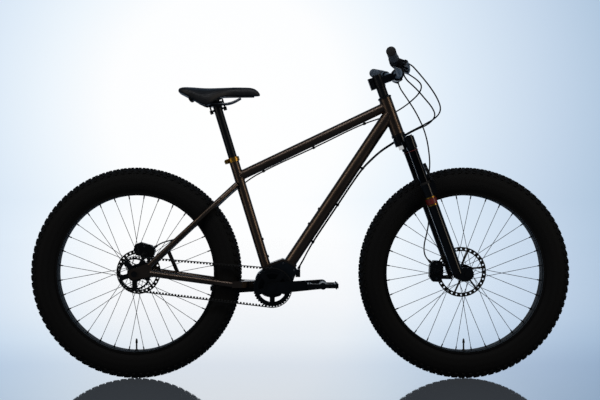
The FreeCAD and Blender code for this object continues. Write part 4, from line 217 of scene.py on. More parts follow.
def black_nylon():
    """Glass-filled nylon mouldings: matt black with a spark-eroded texture."""
    return grained("glass_filled_nylon", ("#0b0c0f", "#131519"), 0.7, 30, (0.45, 0.62), 0.12,
                   {"Specular IOR Level": 0.4})


def hose_cover():
    """Extruded nylon hose cover: smooth satin black with slight dulling."""
    return grained("extruded_nylon_hose", ("#05070a", "#0a0d12"), 1.6, 45, (0.45, 0.6), 0.03,
                   {"Specular IOR Level": 0.22})


def friction_pad():
    """Sintered brake lining: dull brown grit with metal flecks."""
    return grained("sintered_brake_lining", ("#463b30", "#6a5a48"), 0.9, 4, (0.6, 0.85), 0.3,
                   {"Metallic": 0.3})


def belt_urethane():
    """Toothed belt of black urethane over cords: matt with a fabric-faced grain."""
    return grained("toothed_belt_urethane", ("#08090a", "#101113"), 0.9, 18, (0.5, 0.7), 0.2,
                   {"Specular IOR Level": 0.35})


def ringed(name, centre, tones, ring_mm, grain_mm, rough, bump, settings):
    """Finish with fine rings about a wheel's axle, as turning, grinding or a mould's lathe work leaves."""
    material, tree, shader, place = new_material(name, settings)
    around = add(tree, "ShaderNodeVectorMath", {"operation": "SUBTRACT", 1: centre}, {0: place})
    rings = add(tree, "ShaderNodeTexWave",
                {"wave_type": "RINGS", "rings_direction": "Y", "Scale": per_metre(ring_mm) / 20,
                 "Distortion": 0.2}, {"Vector": around.outputs["Vector"]})
    grain = add(tree, "ShaderNodeTexNoise", {"Scale": per_metre(grain_mm), "Detail": 3}, {"Vector": place})
    mixed = add(tree, "ShaderNodeMath", {"operation": "MULTIPLY_ADD", 1: 0.5},
                {0: rings.outputs["Fac"], 2: grain.outputs["Fac"]})
    tree.links.new(ramp(tree, mixed.outputs["Value"], [(0.3, tones[0]), (0.9, tones[1])]),
                   shader.inputs["Base Color"])
    gloss = add(tree, "ShaderNodeMapRange", {"To Min": rough[0], "To Max": rough[1]},
                {"Value": grain.outputs["Fac"]})
    tree.links.new(gloss.outputs["Result"], shader.inputs["Roughness"])
    relief = add(tree, "ShaderNodeBump", {"Strength": bump, "Distance": 0.1 * ring_mm * MM},
                 {"Height": mixed.outputs["Value"]})
    tree.links.new(relief.outputs["Normal"], shader.inputs["Normal"])
    return material


def tyre_rubber(name, centre):
    """Black tyre rubber: matt, with moulded rings on the sidewalls and a dusty grain."""
    return ringed(name, centre, ("#050506", "#0a0b0c"), 3.5, 1.6, (0.7, 0.88), 0.35,
                  {"Specular IOR Level": 0.2})


def rim_alloy(name, centre):
    """Black anodised rim, turned smooth: fine rings and a satin sheen."""
    return ringed(name, centre, ("#060708", "#0b0c0e"), 2.0, 0.8, (0.55, 0.7), 0.06,
                  {"Specular IOR Level": 0.12})


def rotor_steel(name, centre):
    """Ground stainless rotor: fine concentric grinding marks, darkened by use."""
    return ringed(name, centre, ("#3f3a34", "#5d564d"), 1.2, 0.8, (0.28, 0.42), 0.08, {"Metallic": 1.0})


def saddle_vinyl():
    """Synthetic leather: matt black with a pebbled grain and dull creases."""
    material, tree, shader, place = new_material("grained_synthetic_leather", {"Specular IOR Level": 0.4})
    pebble = add(tree, "ShaderNodeTexVoronoi", {"feature": "DISTANCE_TO_EDGE", "Scale": per_metre(1.6)},
                 {"Vector": place})
    wear = add(tree, "ShaderNodeTexNoise", {"Scale": per_metre(35), "Detail": 4}, {"Vector": place})
    tree.links.new(ramp(tree, wear.outputs["Fac"], [(0.3, "#0a0c10"), (0.7, "#13161b")]),
                   shader.inputs["Base Color"])
    gloss = add(tree, "ShaderNodeMapRange", {"To Min": 0.42, "To Max": 0.6}, {"Value": wear.outputs["Fac"]})
    tree.links.new(gloss.outputs["Result"], shader.inputs["Roughness"])
    relief = add(tree, "ShaderNodeBump", {"Strength": 0.3, "Distance": 0.2 * MM},
                 {"Height": pebble.outputs["Distance"]})
    tree.links.new(relief.outputs["Normal"], shader.inputs["Normal"])
    return material


def dress(material, *names):
    """Give CAD nodes a material."""
    for name in names:
        part = frame["nodes"][name]
        if not part.material_slots:
            part.data.materials.append(material)
        for place in part.material_slots:
            place.material = material


def dress_all():
    """Materials of the solids; returns those that the modelled pieces share."""
    black = anodised_black()
    nylon = black_nylon()
    rubber = moulded_rubber()
    steel = brushed_steel()
    hose = hose_cover()
    gold = gold_anodised()
    titanium = bare_titanium()
    dress(titanium, "head_tube", "top_tube", "down_tube", "seat_tube", "chain_stays", "seat_stays",
          "dropouts",
          "gearbox_bracket")
    dress(gearbox_finish(), "gearbox_case")
    dress(black, "frame_fittings", "headset", "collar_lever", "steerer", "crank_shafts", "rear_axle",
          "front_axle", "rear_caliper", "front_caliper", "seatpost", "saddle_clamp", "headset_spacers",
          "stem", "stem_faceplate", "handlebar", "crank_arms", "front_pulley", "rear_pulley", "front_hub",
          "rear_hub", "brake_lever_left", "brake_lever_right", "pedal_right", "pedal_left",
          "control_bodies")
    dress(steel, "saddle_rails")
    dress(fork_paint(), "fork_crown", "fork_lowers")
    dress(hard_anodised_tube(), "stanchions")
    dress(gold, "seat_collar")
    dress(rubber, "twist_shifter", "fork_wipers")
    # Grips take a painted reflection of the pale back light in their colour
    dress(grip_rubber_painted_reflection(), "grips")
    dress(nylon, "saddle_base")
    urethane = belt_urethane()
    dress(urethane, "belt")
    dress(black_steel(), "front_spokes", "rear_spokes")
    dress(friction_pad(), "front_pad_inner", "front_pad_outer", "rear_pad_inner", "rear_pad_outer")
    skins = {}
    for end, centre in AXLES:
        skins[f"{end}_tyre"] = tyre_rubber(f"{end}_tyre_rubber", centre)
        dress(skins[f"{end}_tyre"], f"{end}_tyre")
        dress(rim_alloy(f"{end}_rim_alloy", centre), f"{end}_rim")
        dress(rotor_steel(f"{end}_rotor_steel", centre), f"{end}_rotor")
    return {"black": black, "nylon": nylon, "rubber": rubber, "steel": steel, "hose": hose,
            "gold": gold, "titanium": titanium, "vinyl": saddle_vinyl(), "belt": urethane,
            "red": red_foil(), **skins}


# Hoses and cables: points along the middle line in millimetres, from the bar to the far end
CORD_OD = 5 * MM
GEAR_CABLE_UPPER = [
    (349.3, -237.4, 1101.1), (371, -237, 1092), (392, -222, 1072), (414, -199, 1051.5),
    (445, -166, 1020.5), (474, -128, 985), (492, -88, 951), (481, -48, 925), (440, -10, 901.5),
    (395, 22, 879), (366, 40, 862), (337, 49, 842), (292, 36, 813), (254, 16, 780), (222, 8, 748),
    (178, 7, 684), (134, 8, 617), (90, 7, 552), (46, 8, 486), (26, 8, 450), (12, 9, 422), (0, 10, 402),
    (-5, 10, 388.5),
]
GEAR_CABLE_LOWER = [
    (340.7, -239, 1079.8), (346, -229, 1058), (357, -215, 1042.5), (377, -196, 1028), (401, -170, 1010),
    (428, -138, 985), (458, -104, 957), (475.5, -68, 929), (455, -28, 902), (418, 0, 887), (380, 24, 867),
    (334, 38, 836), (288, 25, 807), (252, 8, 774), (222, 1, 745), (178, 0, 682), (134, 1, 615),
    (90, 0, 550), (46, 1, 484), (24, 1, 446), (9, 2, 416), (-1, 2, 400), (-6, 2, 388.5),
]
REAR_BRAKE_HOSE = [
    (354.1, -165.8, 1081.5), (358.5, -139, 1077.5), (379, -124, 1067), (404, -108, 1053),
    (425, -86, 1035), (419, -62, 1010), (391, -33, 982), (363, 2, 961), (326, 32, 940), (280, 22, 924),
    (230, 7, 907), (170, 6, 880), (110, 7, 850), (49, 6, 820.5), (-11, 7, 793), (-71, 6, 766),
    (-130, 7, 737), (-166, 18, 718), (-200, 32, 694), (-238, 48, 664), (-282, 70, 624), (-334, 81, 574),
    (-385, 84, 531), (-428, 88, 503), (-457, 87, 490), (-484, 84, 484), (-508, 81, 475),
    (-525.6, 80.7, 462.3),
]
FRONT_BRAKE_HOSE = [
    (354.1, 165.8, 1081.5), (358.9, 136.5, 1076.5), (366, 114, 1043), (379, 97, 1020), (398, 84, 989),
    (417, 74, 957), (434, 64, 922), (449, 55, 884.6), (459, 49, 845), (465, 47, 803), (468, 48, 766),
    (466, 50.5, 733), (452, 50.5, 706), (447, 56, 674), (453, 59, 638), (462, 59, 598), (466, 60, 556),
    (459, 63, 514), (450, 68, 478), (449, 71, 446), (458.5, 72.7, 422), (473.7, 72.7, 409.1),
]
# Body that carries each cord's far end, its node, and two stop indices on its points
CORDS = {
    "gear_cable_upper": (GEAR_CABLE_UPPER, "frame", "gear_cables", 4, 13),
    "gear_cable_lower": (GEAR_CABLE_LOWER, "frame", "gear_cables", 4, 13),
    "rear_brake_hose_cover": (REAR_BRAKE_HOSE, "frame", "rear_brake_hose", 3, 10),
    "front_brake_hose_cover": (FRONT_BRAKE_HOSE, "fork_lower", "front_brake_hose", 4, 10),
}


def activate(piece):
    """Make one piece the only selected and active object."""
    bpy.ops.object.select_all(action="DESELECT")
    piece.select_set(True)
    bpy.context.view_layer.objects.active = piece


def merge(piece):
    """Merge a piece's doubled points and turn its faces outwards."""
    activate(piece)
    bpy.ops.object.mode_set(mode="EDIT")
    bpy.ops.mesh.select_all(action="SELECT")
    bpy.ops.mesh.remove_doubles(threshold=0.01 * MM)
    bpy.ops.mesh.normals_make_consistent(inside=False)
    bpy.ops.object.mode_set(mode="OBJECT")


def nurbs_line(name, points):
    """Curve of one smooth open spline on the route's points."""
    line = bpy.data.curves.new(name, "CURVE")
    line.dimensions = "3D"
    line.resolution_u = 8
    spline = line.splines.new("NURBS")
    spline.points.add(len(points) - 1)
    for knot, point in zip(spline.points, points):
        knot.co = (*[value * MM for value in point], 1)
    spline.order_u = 3
    spline.use_endpoint_u = True
    holder = bpy.data.objects.new(name, line)
    bpy.context.scene.collection.objects.link(holder)
    return holder


def settled(holder):
    """Mesh of a curve as it stands now."""
    bpy.context.view_layer.update()
    shape = holder.evaluated_get(bpy.context.evaluated_depsgraph_get())
    return bpy.data.meshes.new_from_object(shape)


def cord(name, material):
    """Flexible hose from the bar to its far end, swept as a round tube along a smooth spline; returns the
    spline's points.
    """
    points, far_body, node, first, last = CORDS[name]
    holder = nurbs_line(name + "_line", points)
    middle = [vertex.co.copy() for vertex in settled(holder).vertices]
    holder.data.bevel_depth = CORD_OD / 2
    holder.data.bevel_resolution = 3
    holder.data.use_fill_caps = True
    skin = bpy.data.objects.new(name, settled(holder))
    bpy.context.scene.collection.objects.link(skin)
    bpy.data.objects.remove(holder)
    merge(skin)
    skin.data.materials.clear()
    skin.data.materials.append(material)
    for face in skin.data.polygons:
        face.use_smooth = True
    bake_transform(skin)
    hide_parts(node)
    return middle


# Saddle
# Mesh size, greatest swelling, pressure and length of the padding's simulation
SADDLE_VOXEL = 3.0 * MM
SADDLE_SWELL = 2.5 * MM
SADDLE_PRESSURE = 3.0
SADDLE_FRAMES = 14


def merged_copy(node, name):
    """Own copy of a solid's mesh with its loose triangles merged."""
    piece = bpy.data.objects.new(name, frame["nodes"][node].data.copy())
    bpy.context.scene.collection.objects.link(piece)
    merge(piece)
    return piece


def apply_all(piece):
    """Apply a piece's modifiers in their order."""
    activate(piece)
    for modifier in list(piece.modifiers):
        bpy.ops.object.modifier_apply(modifier=modifier.name)


def finish_piece(piece, material, body):
    """Smooth faces, a material and the body that carries the piece."""
    piece.data.materials.clear()
    piece.data.materials.append(material)
    activate(piece)
    bpy.ops.object.shade_smooth_by_angle(angle=math.radians(35))
    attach(piece, body)
    return piece


def padded_saddle(material):
    """Saddle cover: foam swollen by pressure under a tight skin."""
    cover = merged_copy("saddle_cover", "saddle_padding")
    remesh = cover.modifiers.new("Remesh", "REMESH")
    remesh.mode = "VOXEL"
    remesh.voxel_size = SADDLE_VOXEL
    soften = cover.modifiers.new("Soften", "SMOOTH")
    soften.factor = 0.5
    soften.iterations = 6
    apply_all(cover)
    rest = [vertex.co.copy() for vertex in cover.data.vertices]
    swell(cover, rest)
    divide = cover.modifiers.new("Divide", "SUBSURF")
    divide.levels = 1
    divide.render_levels = 1
    apply_all(cover)
    finish_piece(cover, material, "seat")
    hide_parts("saddle_cover")
    return cover


def swell(cover, rest):
    """Short cloth run under pressure, with each point's way capped."""
    cloth = cover.modifiers.new("Cloth", "CLOTH")
    cloth.settings.use_pressure = True
    cloth.settings.uniform_pressure_force = SADDLE_PRESSURE
    cloth.settings.effector_weights.gravity = 0
    cloth.settings.tension_stiffness = 30
    cloth.settings.compression_stiffness = 30
    cloth.settings.bending_stiffness = 5
    scene = bpy.context.scene
    for step in range(1, SADDLE_FRAMES + 1):
        scene.frame_set(step)
    apply_all(cover)
    scene.frame_set(1)
    for vertex, start in zip(cover.data.vertices, rest):
        way = vertex.co - start
        if way.length > SADDLE_SWELL:
            vertex.co = start + way.normalized() * SADDLE_SWELL


# Small modelled pieces
# Foot of the steering axis and the direction square to it, and the fork legs' places from it
STEER_FOOT = Vector(JOINTS["steering_turn"]["pos_m"]) - STEER_UP * 0.6
STEER_AHEAD = Vector((STEER_UP.z, 0, -STEER_UP.x))
LEG_AHEAD = 22 * MM
LEG_RADIUS = 19
LEG_SPREAD = 82 * MM
# Belt's middle plane, pitch, first tooth's distance from the pulley, and the teeth's depth under the band
BELT_LINE = -66 * MM
BELT_PITCH = 11 * MM
BELT_LEAD = 18 * MM
TOOTH_DROP = 2.8 * MM
# Foot of the valves on the rims, outer face of the cranks, length of the seat tube to the top tube, and a
# distance that clears the bicycle's width
RIM_BED = 275.5 * MM
CRANK_FACE = 98 * MM
SEAT_JOINT = 409 * MM
OUTSIDE = 0.3
# Tyre: radius over the casing's crown, radius across the crown, and the knobs in millimetres
CROWN_TOP = 371.2
CROWN_ARC = 57.94
KNOBS = 88
KNOB_LENGTH = 10
KNOB_RISE = 3.7
KNOB_ROOT = 2
FRONT_TEETH = 39
REAR_TEETH = 34
FRONT_PITCH = FRONT_TEETH * BELT_PITCH / math.tau
REAR_PITCH = REAR_TEETH * BELT_PITCH / math.tau


def standing(at, along):
    """Matrix that puts a piece's height along a direction from a point."""
    return Matrix.Translation(at) @ Vector(along).to_track_quat("Z", "Y").to_matrix().to_4x4()


def empty_piece(name):
    """New piece without a mesh, made active."""
    piece = bpy.data.objects.new(name, bpy.data.meshes.new(name))
    bpy.context.scene.collection.objects.link(piece)
    activate(piece)
    return piece


def lathe(name, outline, at, along, steps=40):
    """Piece spun from a (radius, height) outline in millimetres about a direction from a point."""
    piece = empty_piece(name)
    edges = [(index, index + 1) for index in range(len(outline) - 1)]
    piece.data.from_pydata([(radius * MM, 0, height * MM) for radius, height in outline], edges, [])
    bpy.ops.object.mode_set(mode="EDIT")
    bpy.ops.mesh.select_all(action="SELECT")
    bpy.ops.mesh.spin(steps=steps, angle=math.tau, center=(0, 0, 0), axis=(0, 0, 1))
    bpy.ops.mesh.select_all(action="SELECT")
    bpy.ops.mesh.remove_doubles(threshold=0.01 * MM)
    bpy.ops.mesh.normals_make_consistent(inside=False)
    bpy.ops.object.mode_set(mode="OBJECT")
    piece.data.transform(standing(at, along))
    return piece


def closed(outline):
    """Outline led back to its first point, for a piece that is hollow along its middle."""
    return outline + outline[:1]


def block(size, bevel, segments, shift=(0, 0, 0)):
    """Block with rounded edges, its size and its middle's place in millimetres."""
    bpy.ops.mesh.primitive_cube_add(size=1)
    piece = bpy.context.active_object
    bpy.ops.object.mode_set(mode="EDIT")
    bpy.ops.mesh.select_all(action="SELECT")
    bpy.ops.transform.resize(value=[length * MM for length in size])
    bpy.ops.transform.translate(value=[length * MM for length in shift])
    bpy.ops.mesh.bevel(offset=bevel * MM, segments=segments, affect="EDGES")
    bpy.ops.object.mode_set(mode="OBJECT")
    return piece


def join(piece, *others):
    """Join other objects into a piece."""
    activate(piece)
    for other in others:
        other.select_set(True)
    bpy.ops.object.join()


def leg_point(side, along):
    """Point on a fork leg's middle line, at a length along the steering axis in millimetres."""
    return STEER_FOOT + STEER_UP * along * MM + STEER_AHEAD * LEG_AHEAD + Vector((0, side * LEG_SPREAD, 0))


def foil(start, end, radius):
    """Closed outline of a thin printed foil round a leg."""
    inner, outer = radius + 0.05, radius + 0.25
    return closed([(inner, start), (outer, start + 0.2), (outer, end - 0.2), (inner, end)])


def fork_bands(finishes):
    """Plain bands round the lowers, and a travel ring on each slider tube."""
    for side, word in SIDES:
        foot = leg_point(side, 0)
        for name, start, end, finish in (("lower_band", 266, 271, "gold"), ("label_band", 272, 292, "red"),
                                         ("upper_band", 293, 298, "gold")):
            piece = lathe(f"{name}_{word}", foil(start, end, LEG_RADIUS), foot, STEER_UP, 64)
            finish_piece(piece, finishes[finish], "fork_lower")
        ring = [(16.05 + 1.3 * (1 + math.cos(turn * math.tau / 10)),
                 470 + 1.3 * math.sin(turn * math.tau / 10))
                for turn in range(11)]
        piece = lathe(f"travel_ring_{word}", ring, foot, STEER_UP, 48)
        finish_piece(piece, finishes["red"], "steering")


def belt_teeth(finishes):
    """Rounded teeth along the belt's two free runs, modelled once and repeated at the belt's pitch."""
    span = Vector((REAR_AXLE.x - CRANK.x, 0, REAR_AXLE.z - CRANK.z))
    lean = math.asin((FRONT_PITCH - REAR_PITCH) / span.length)
    for side, word in ((1, "upper"), (-1, "lower")):
        square = Vector((span.z, 0, -span.x)).normalized() * side
        outward = (square * math.cos(lean) - span.normalized() * math.sin(lean)).normalized()
        start = Vector((CRANK.x, BELT_LINE, CRANK.z)) + outward * FRONT_PITCH
        end = Vector((REAR_AXLE.x, BELT_LINE, REAR_AXLE.z)) + outward * REAR_PITCH
        run = (end - start).normalized()
        tooth = block((6.4, 12, 6), 1.4, 3)
        tooth.name = f"belt_teeth_{word}"
        row = tooth.modifiers.new("Row", "ARRAY")
        row.count = int(((end - start).length - 2 * BELT_LEAD) / BELT_PITCH)
        row.use_relative_offset = False
        row.use_constant_offset = True
        row.constant_offset_displace = (BELT_PITCH, 0, 0)
        apply_all(tooth)
        across = outward.cross(run)
        turn = Matrix((run, across, outward)).transposed().to_4x4()
        tooth.data.transform(Matrix.Translation(start + run * BELT_LEAD - outward * TOOTH_DROP) @ turn)
        finish_piece(tooth, finishes["belt"], "frame")


def tread_row(piece, phase, angle, width):
    """One row of tapered knobs round a tyre, repeated from a single knob."""
    knob = block((KNOB_RISE + KNOB_ROOT, KNOB_LENGTH, width), 0.9, 1, ((KNOB_RISE - KNOB_ROOT) / 2, 0, 0))
    bpy.ops.object.mode_set(mode="EDIT")
    bpy.ops.mesh.select_all(action="SELECT")
    bpy.ops.transform.translate(value=(CROWN_ARC * MM, 0, 0))
    bpy.ops.transform.rotate(value=-angle, orient_axis="Y", center_override=(0, 0, 0))
    bpy.ops.transform.translate(value=((CROWN_TOP - CROWN_ARC) * MM, 0, 0))
    bpy.ops.transform.rotate(value=phase * math.tau / KNOBS, orient_axis="Z", center_override=(0, 0, 0))
    bpy.ops.mesh.spin(steps=KNOBS - 1, dupli=True, angle=math.tau * (1 - 1 / KNOBS), center=(0, 0, 0),
                      axis=(0, 0, 1))
    bpy.ops.object.mode_set(mode="OBJECT")
    join(piece, knob)


def tyres(finishes):
    """Fat tyre modelled once and copied: a round casing with eight staggered rows of low knobs."""
    crown = [(CROWN_TOP + CROWN_ARC * (math.cos(turn) - 1), CROWN_ARC * math.sin(turn))
             for turn in (math.radians(step * 7.5) for step in range(-6, 7))]
    wall = [(346, 45), (337, 47.6), (328, 48.8), (320, 49), (311, 48.4), (302, 46.4), (294, 43),
            (288, 38.5), (281, 37.6), (281, 34), (290, 34), (304, 43), (320, 45.6), (337, 44), (352, 37)]
    under = [(radius - 4, across * 0.94) for radius, across in crown]
    outline = [(radius, -across) for radius, across in reversed(wall)] + crown + wall + under[::-1]
    tyre = lathe("front_tyre_skin", closed(outline), Vector(), UP, 144)
    for phase, degrees, width in ((0, -6.5, 9.5), (0.5, 6.5, 9.5), (0.25, -19.5, 10.5),
                                  (0.75, 19.5, 10.5), (0, -32, 10), (0.5, 32, 10), (0.25, -43, 8),
                                  (0.75, 43, 8)):
        tread_row(tyre, phase, math.radians(degrees), width)
    bpy.ops.object.mode_set(mode="EDIT")
    bpy.ops.mesh.select_all(action="SELECT")
    bpy.ops.mesh.normals_make_consistent(inside=False)
    bpy.ops.object.mode_set(mode="OBJECT")
    copy = bpy.data.objects.new("rear_tyre_skin", tyre.data.copy())
    bpy.context.scene.collection.objects.link(copy)
    for end, piece, axle in (("front", tyre, FRONT_AXLE), ("rear", copy, REAR_AXLE)):
        piece.data.transform(standing(axle, LEFT))
        finish_piece(piece, finishes[f"{end}_tyre"], f"{end}_wheel")
        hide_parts(f"{end}_tyre")


def grip_plugs(finishes):
    """Black plug that closes the outer end of each grip."""
    outline = [(0, 1.4), (13, 1.4), (15.6, 0.8), (16.5, -0.8), (16.5, -5), (16.1, -5.6), (0, -5.6)]
    for side, word in SIDES:
        _, _, out, foot = bar_frame(side)
        _, end, _, _ = frame["nodes"]["grips"].ray_cast(foot + out * 0.5, -out)
        piece = lathe(f"grip_plug_{word}", outline, end, out, 40)
        finish_piece(piece, finishes["nylon"], "steering")


def caliper_caps(finishes):
    """Round piston cap and two screws on each side of both calipers."""
    outline = [(0, 3), (8, 3), (9, 2.4), (12.4, 2.4), (13.4, 1.4), (13.4, -1), (0, -1)]
    for end, body in (("front", "fork_lower"), ("rear", "frame")):
        box = [frame["nodes"][f"{end}_caliper"].matrix_world @ Vector(corner)
               for corner in frame["nodes"][f"{end}_caliper"].bound_box]
        low, high = (Vector([pick(corner[axis] for corner in box) for axis in range(3)])
                     for pick in (min, max))
        middle = (low + high) / 2
        screws = []
        for side, word in SIDES:
            for at, normal in on_wall(f"{end}_caliper", [(middle.x, middle.z)], side):
                piece = lathe(f"{end}_piston_cap_{word}", outline, at, normal, 40)
                finish_piece(piece, finishes["black"], body)
            lifts = [(middle.x, middle.z + share * (high.z - low.z)) for share in (-0.34, 0.34)]
            screws += on_wall(f"{end}_caliper", lifts, side)
        bolted(f"{end}_caliper_screws", screws, finishes["steel"], body)


def saddle_bumper(finishes):
    """Rubber bumper across the underside of the saddle's tail."""
    outline = [(0, -46), (5, -45), (8, -42), (9, -36), (9, 36), (8, 42), (5, 45), (0, 46)]
    piece = lathe("saddle_tail_bumper", outline, Vector((-386, 0, 993)) * MM, LEFT, 28)
    finish_piece(piece, finishes["rubber"], "seat")


def pulley_ring(finishes):
    """Broad ring inside the front pulley's teeth, which leaves only short windows round its hub."""
    outline = [(49.6, -3), (50, -3.4), (60, -3.4), (60, 3.4), (50, 3.4), (49.6, 3), (49.6, -3)]
    foot = Vector((CRANK.x, BELT_LINE, CRANK.z))
    piece = lathe("front_pulley_ring", outline, foot, LEFT, 72)
    finish_piece(piece, finishes["black"], "front_pulley")


def valves(finishes):
    """Knurled lock nut and tapered dust cap on each valve."""
    for end, axle in AXLES:
        foot = axle - UP * RIM_BED
        nut = [(3.05, 0.2), (5.6, 0.2), (6, 0.7), (6, 1.6), (5.5, 1.9), (6, 2.2), (6, 3.2), (5.4, 3.8),
               (3.05, 3.8)]
        cap = [(0, 26), (4.2, 26), (4.4, 26.6), (4.1, 27.2), (4.4, 27.8), (4.1, 28.4), (4.3, 29),
               (3.6, 36), (2.6, 40.4), (1.4, 41.6), (0, 41.9)]
        for name, outline, finish, slot in (("valve_nut", closed(nut), "steel", "steel"),
                                            ("valve_cap", cap, "nylon", "black_plastic")):
            piece = lathe(f"{end}_{name}", outline, foot, UP, 36)
            finish_piece(piece, finishes[finish], f"{end}_wheel")


def ferrules(lines, finishes):
    """Ribbed boots and ferrules over both ends of each hose and cable."""
    boot = [(2.55, 0), (4.6, 0), (4.9, 0.6), (4.9, 5), (4.3, 5.6), (4.6, 6.4), (4.0, 7.2), (4.3, 8),
            (3.7, 8.8), (4.0, 9.6), (3.4, 10.4), (3.6, 11.2), (3.0, 13), (2.55, 14)]
    for name, (_, far_body, _, _, _) in CORDS.items():
        line = lines[name]
        for word, tip, inner, body in (("start", line[0], line[3], "steering"),
                                       ("end", line[-1], line[-4], far_body)):
            piece = lathe(f"{name}_{word}_boot", closed(boot), tip, inner - tip, 28)
            finish_piece(piece, finishes["nylon"], body)


def weld_bead(name, foot, end, radius, target, finishes):
    """Rippled weld where a tube meets its neighbour: a ring thrown along it onto the neighbour's wall."""
    bpy.ops.mesh.primitive_circle_add(vertices=96, radius=radius)
    ring = bpy.context.active_object
    ring.name = name
    ring.matrix_world = standing(foot, end - foot)
    bpy.context.view_layer.update()
    wrap = ring.modifiers.new("Wrap", "SHRINKWRAP")
    wrap.target = frame["nodes"][target]
    wrap.wrap_method = "PROJECT"
    wrap.use_project_z = True
    apply_all(ring)
    ring.data.transform(ring.matrix_world)
    ring.matrix_world = Matrix()
    activate(ring)
    bpy.ops.object.convert(target="CURVE")
    for spline in ring.data.splines:
        for index, knot in enumerate(spline.points):
            knot.radius = 1 if index % 2 else 0.8
    ring.data.bevel_depth = 2.2 * MM
    ring.data.bevel_resolution = 3
    bpy.ops.object.convert(target="MESH")
    finish_piece(ring, finishes["titanium"], "frame")


def weld_beads(finishes):
    """Weld beads where the top tube and the down tube meet the head tube and the seat tube."""
    lean = math.radians(73)
    seat_joint = CRANK + Vector((-math.cos(lean), 0, math.sin(lean))) * SEAT_JOINT
    top_joint, down_joint = (STEER_FOOT + STEER_UP * along * MM for along in (651, 624))
    down_foot = CRANK + Vector((73, 0, 100)) * MM
    for name, foot, end, radius, target in (
            ("top_tube_head_weld", seat_joint, top_joint, 17, "head_tube"),
            ("down_tube_head_weld", down_foot, down_joint, 22, "head_tube"),
            ("top_tube_seat_weld", top_joint, seat_joint, 17, "seat_tube")):
        near = end + (foot - end).normalized() * 60 * MM
        weld_bead(name, near, end, radius * MM, target, finishes)


def socket_bolt(name):
    """Cap screw head with a hexagon socket, standing on the ground plane."""
    bpy.ops.mesh.primitive_circle_add(vertices=6, radius=1.6 * MM, location=(0, 0, 3 * MM))
    bolt = bpy.context.active_object
    bolt.name = name
    bpy.ops.object.transform_apply(location=True)
    bpy.ops.object.mode_set(mode="EDIT")
    bpy.ops.mesh.select_all(action="SELECT")
    bpy.ops.mesh.extrude_edges_move(TRANSFORM_OT_translate={"value": (0, 0, -1.8 * MM)})
    bpy.ops.mesh.edge_face_add()
    bpy.ops.mesh.select_all(action="DESELECT")
    bpy.ops.mesh.primitive_circle_add(vertices=24, radius=3 * MM, location=(0, 0, 3 * MM))
    bpy.ops.mesh.extrude_edges_move(TRANSFORM_OT_translate={"value": (0, 0, -0.5 * MM)})
    bpy.ops.transform.resize(value=(1.15, 1.15, 1))
    bpy.ops.mesh.extrude_edges_move(TRANSFORM_OT_translate={"value": (0, 0, -2.5 * MM)})
    bpy.ops.mesh.edge_face_add()
    bpy.ops.mesh.select_all(action="DESELECT")
    bpy.ops.mesh.select_non_manifold(extend=False)
    bpy.ops.mesh.bridge_edge_loops()
    bpy.ops.mesh.select_all(action="SELECT")
    bpy.ops.mesh.normals_make_consistent(inside=False)
    bpy.ops.object.mode_set(mode="OBJECT")
    return bolt


def bolted(name, places, finish, body):
    """One piece of cap screws copied from a single model to (point, direction) places."""
    model = socket_bolt(name + "_model")
    copies = []
    for index, (at, along) in enumerate(places):
        copy = bpy.data.objects.new(f"{name}_{index}", model.data.copy())
        bpy.context.scene.collection.objects.link(copy)
        copy.data.transform(standing(at, along))
        copies.append(copy)
    bpy.data.objects.remove(model)
    join(*copies)
    copies[0].name = name
    return finish_piece(copies[0], finish, body)


def on_wall(node, places, side):
    """Points and directions on a solid's side wall, met from outside at (x, z) places."""
    met = []
    for x, z in places:
        hit, at, normal, _ = frame["nodes"][node].ray_cast(Vector((x, side * OUTSIDE, z)), -side * LEFT)
        if hit and abs(normal.y) > 0.9:
            met.append((at, normal))
    return met


def gearbox_bolts(finishes):
    """Screws round the rim of the gearbox case, on both sides."""
    shares = [(-0.33, -0.03), (0.25, -0.1), (0.47, 0.27), (0.5, 0.47), (0.25, 0.66), (-0.02, 0.55),
              (-0.34, 0.28)]
    spots = [(CRANK.x + across * 154 * MM, CRANK.z + up * 128 * MM) for across, up in shares]
    places = on_wall("gearbox_case", spots, -1) + on_wall("gearbox_case", spots, 1)
    bolted("gearbox_bolts", places, finishes["steel"], "frame")


def bar_frame(side):
    """Directions of one bar arm: towards the lever, upwards and outwards, and the arm's foot."""
    sweep, rise, drop = (math.radians(angle) for angle in (10.5, 8.4, 22))
    out = Vector((-math.tan(sweep), side, math.tan(rise))).normalized()
    lead = Vector((math.cos(drop), 0, -math.sin(drop)))
    lead = (lead - out * lead.dot(out)).normalized()
    up = out.cross(lead) * -side
    foot = STEER_FOOT + STEER_UP * 741.4 * MM + STEER_AHEAD * 69 * MM + Vector((0, side * 76 * MM, 0))
    return lead, up, out, foot


def reservoirs(finishes):
    """Fluid reservoir beside each master cylinder, with a lid and two screws."""
    for side, word in SIDES:
        lead, up, out, foot = bar_frame(side)
        turn = Matrix((lead, up, out)).transposed().to_4x4()
        box = block((19, 20, 36), 4, 4)
        box.name = f"brake_reservoir_{word}"
        join(box, block((16, 2.4, 33), 0.8, 2, (0, 10.6, 0)))
        middle = foot + lead * 39 * MM - up * 3 * MM + out * 108 * MM
        box.data.transform(Matrix.Translation(middle) @ turn)
        if turn.determinant() < 0:
            box.data.flip_normals()
        finish_piece(box, finishes["black"], "steering")
        screws = [(middle + up * 11.6 * MM + out * along * MM, up) for along in (-12, 12)]
        bolted(f"reservoir_screws_{word}", screws, finishes["steel"], "steering")


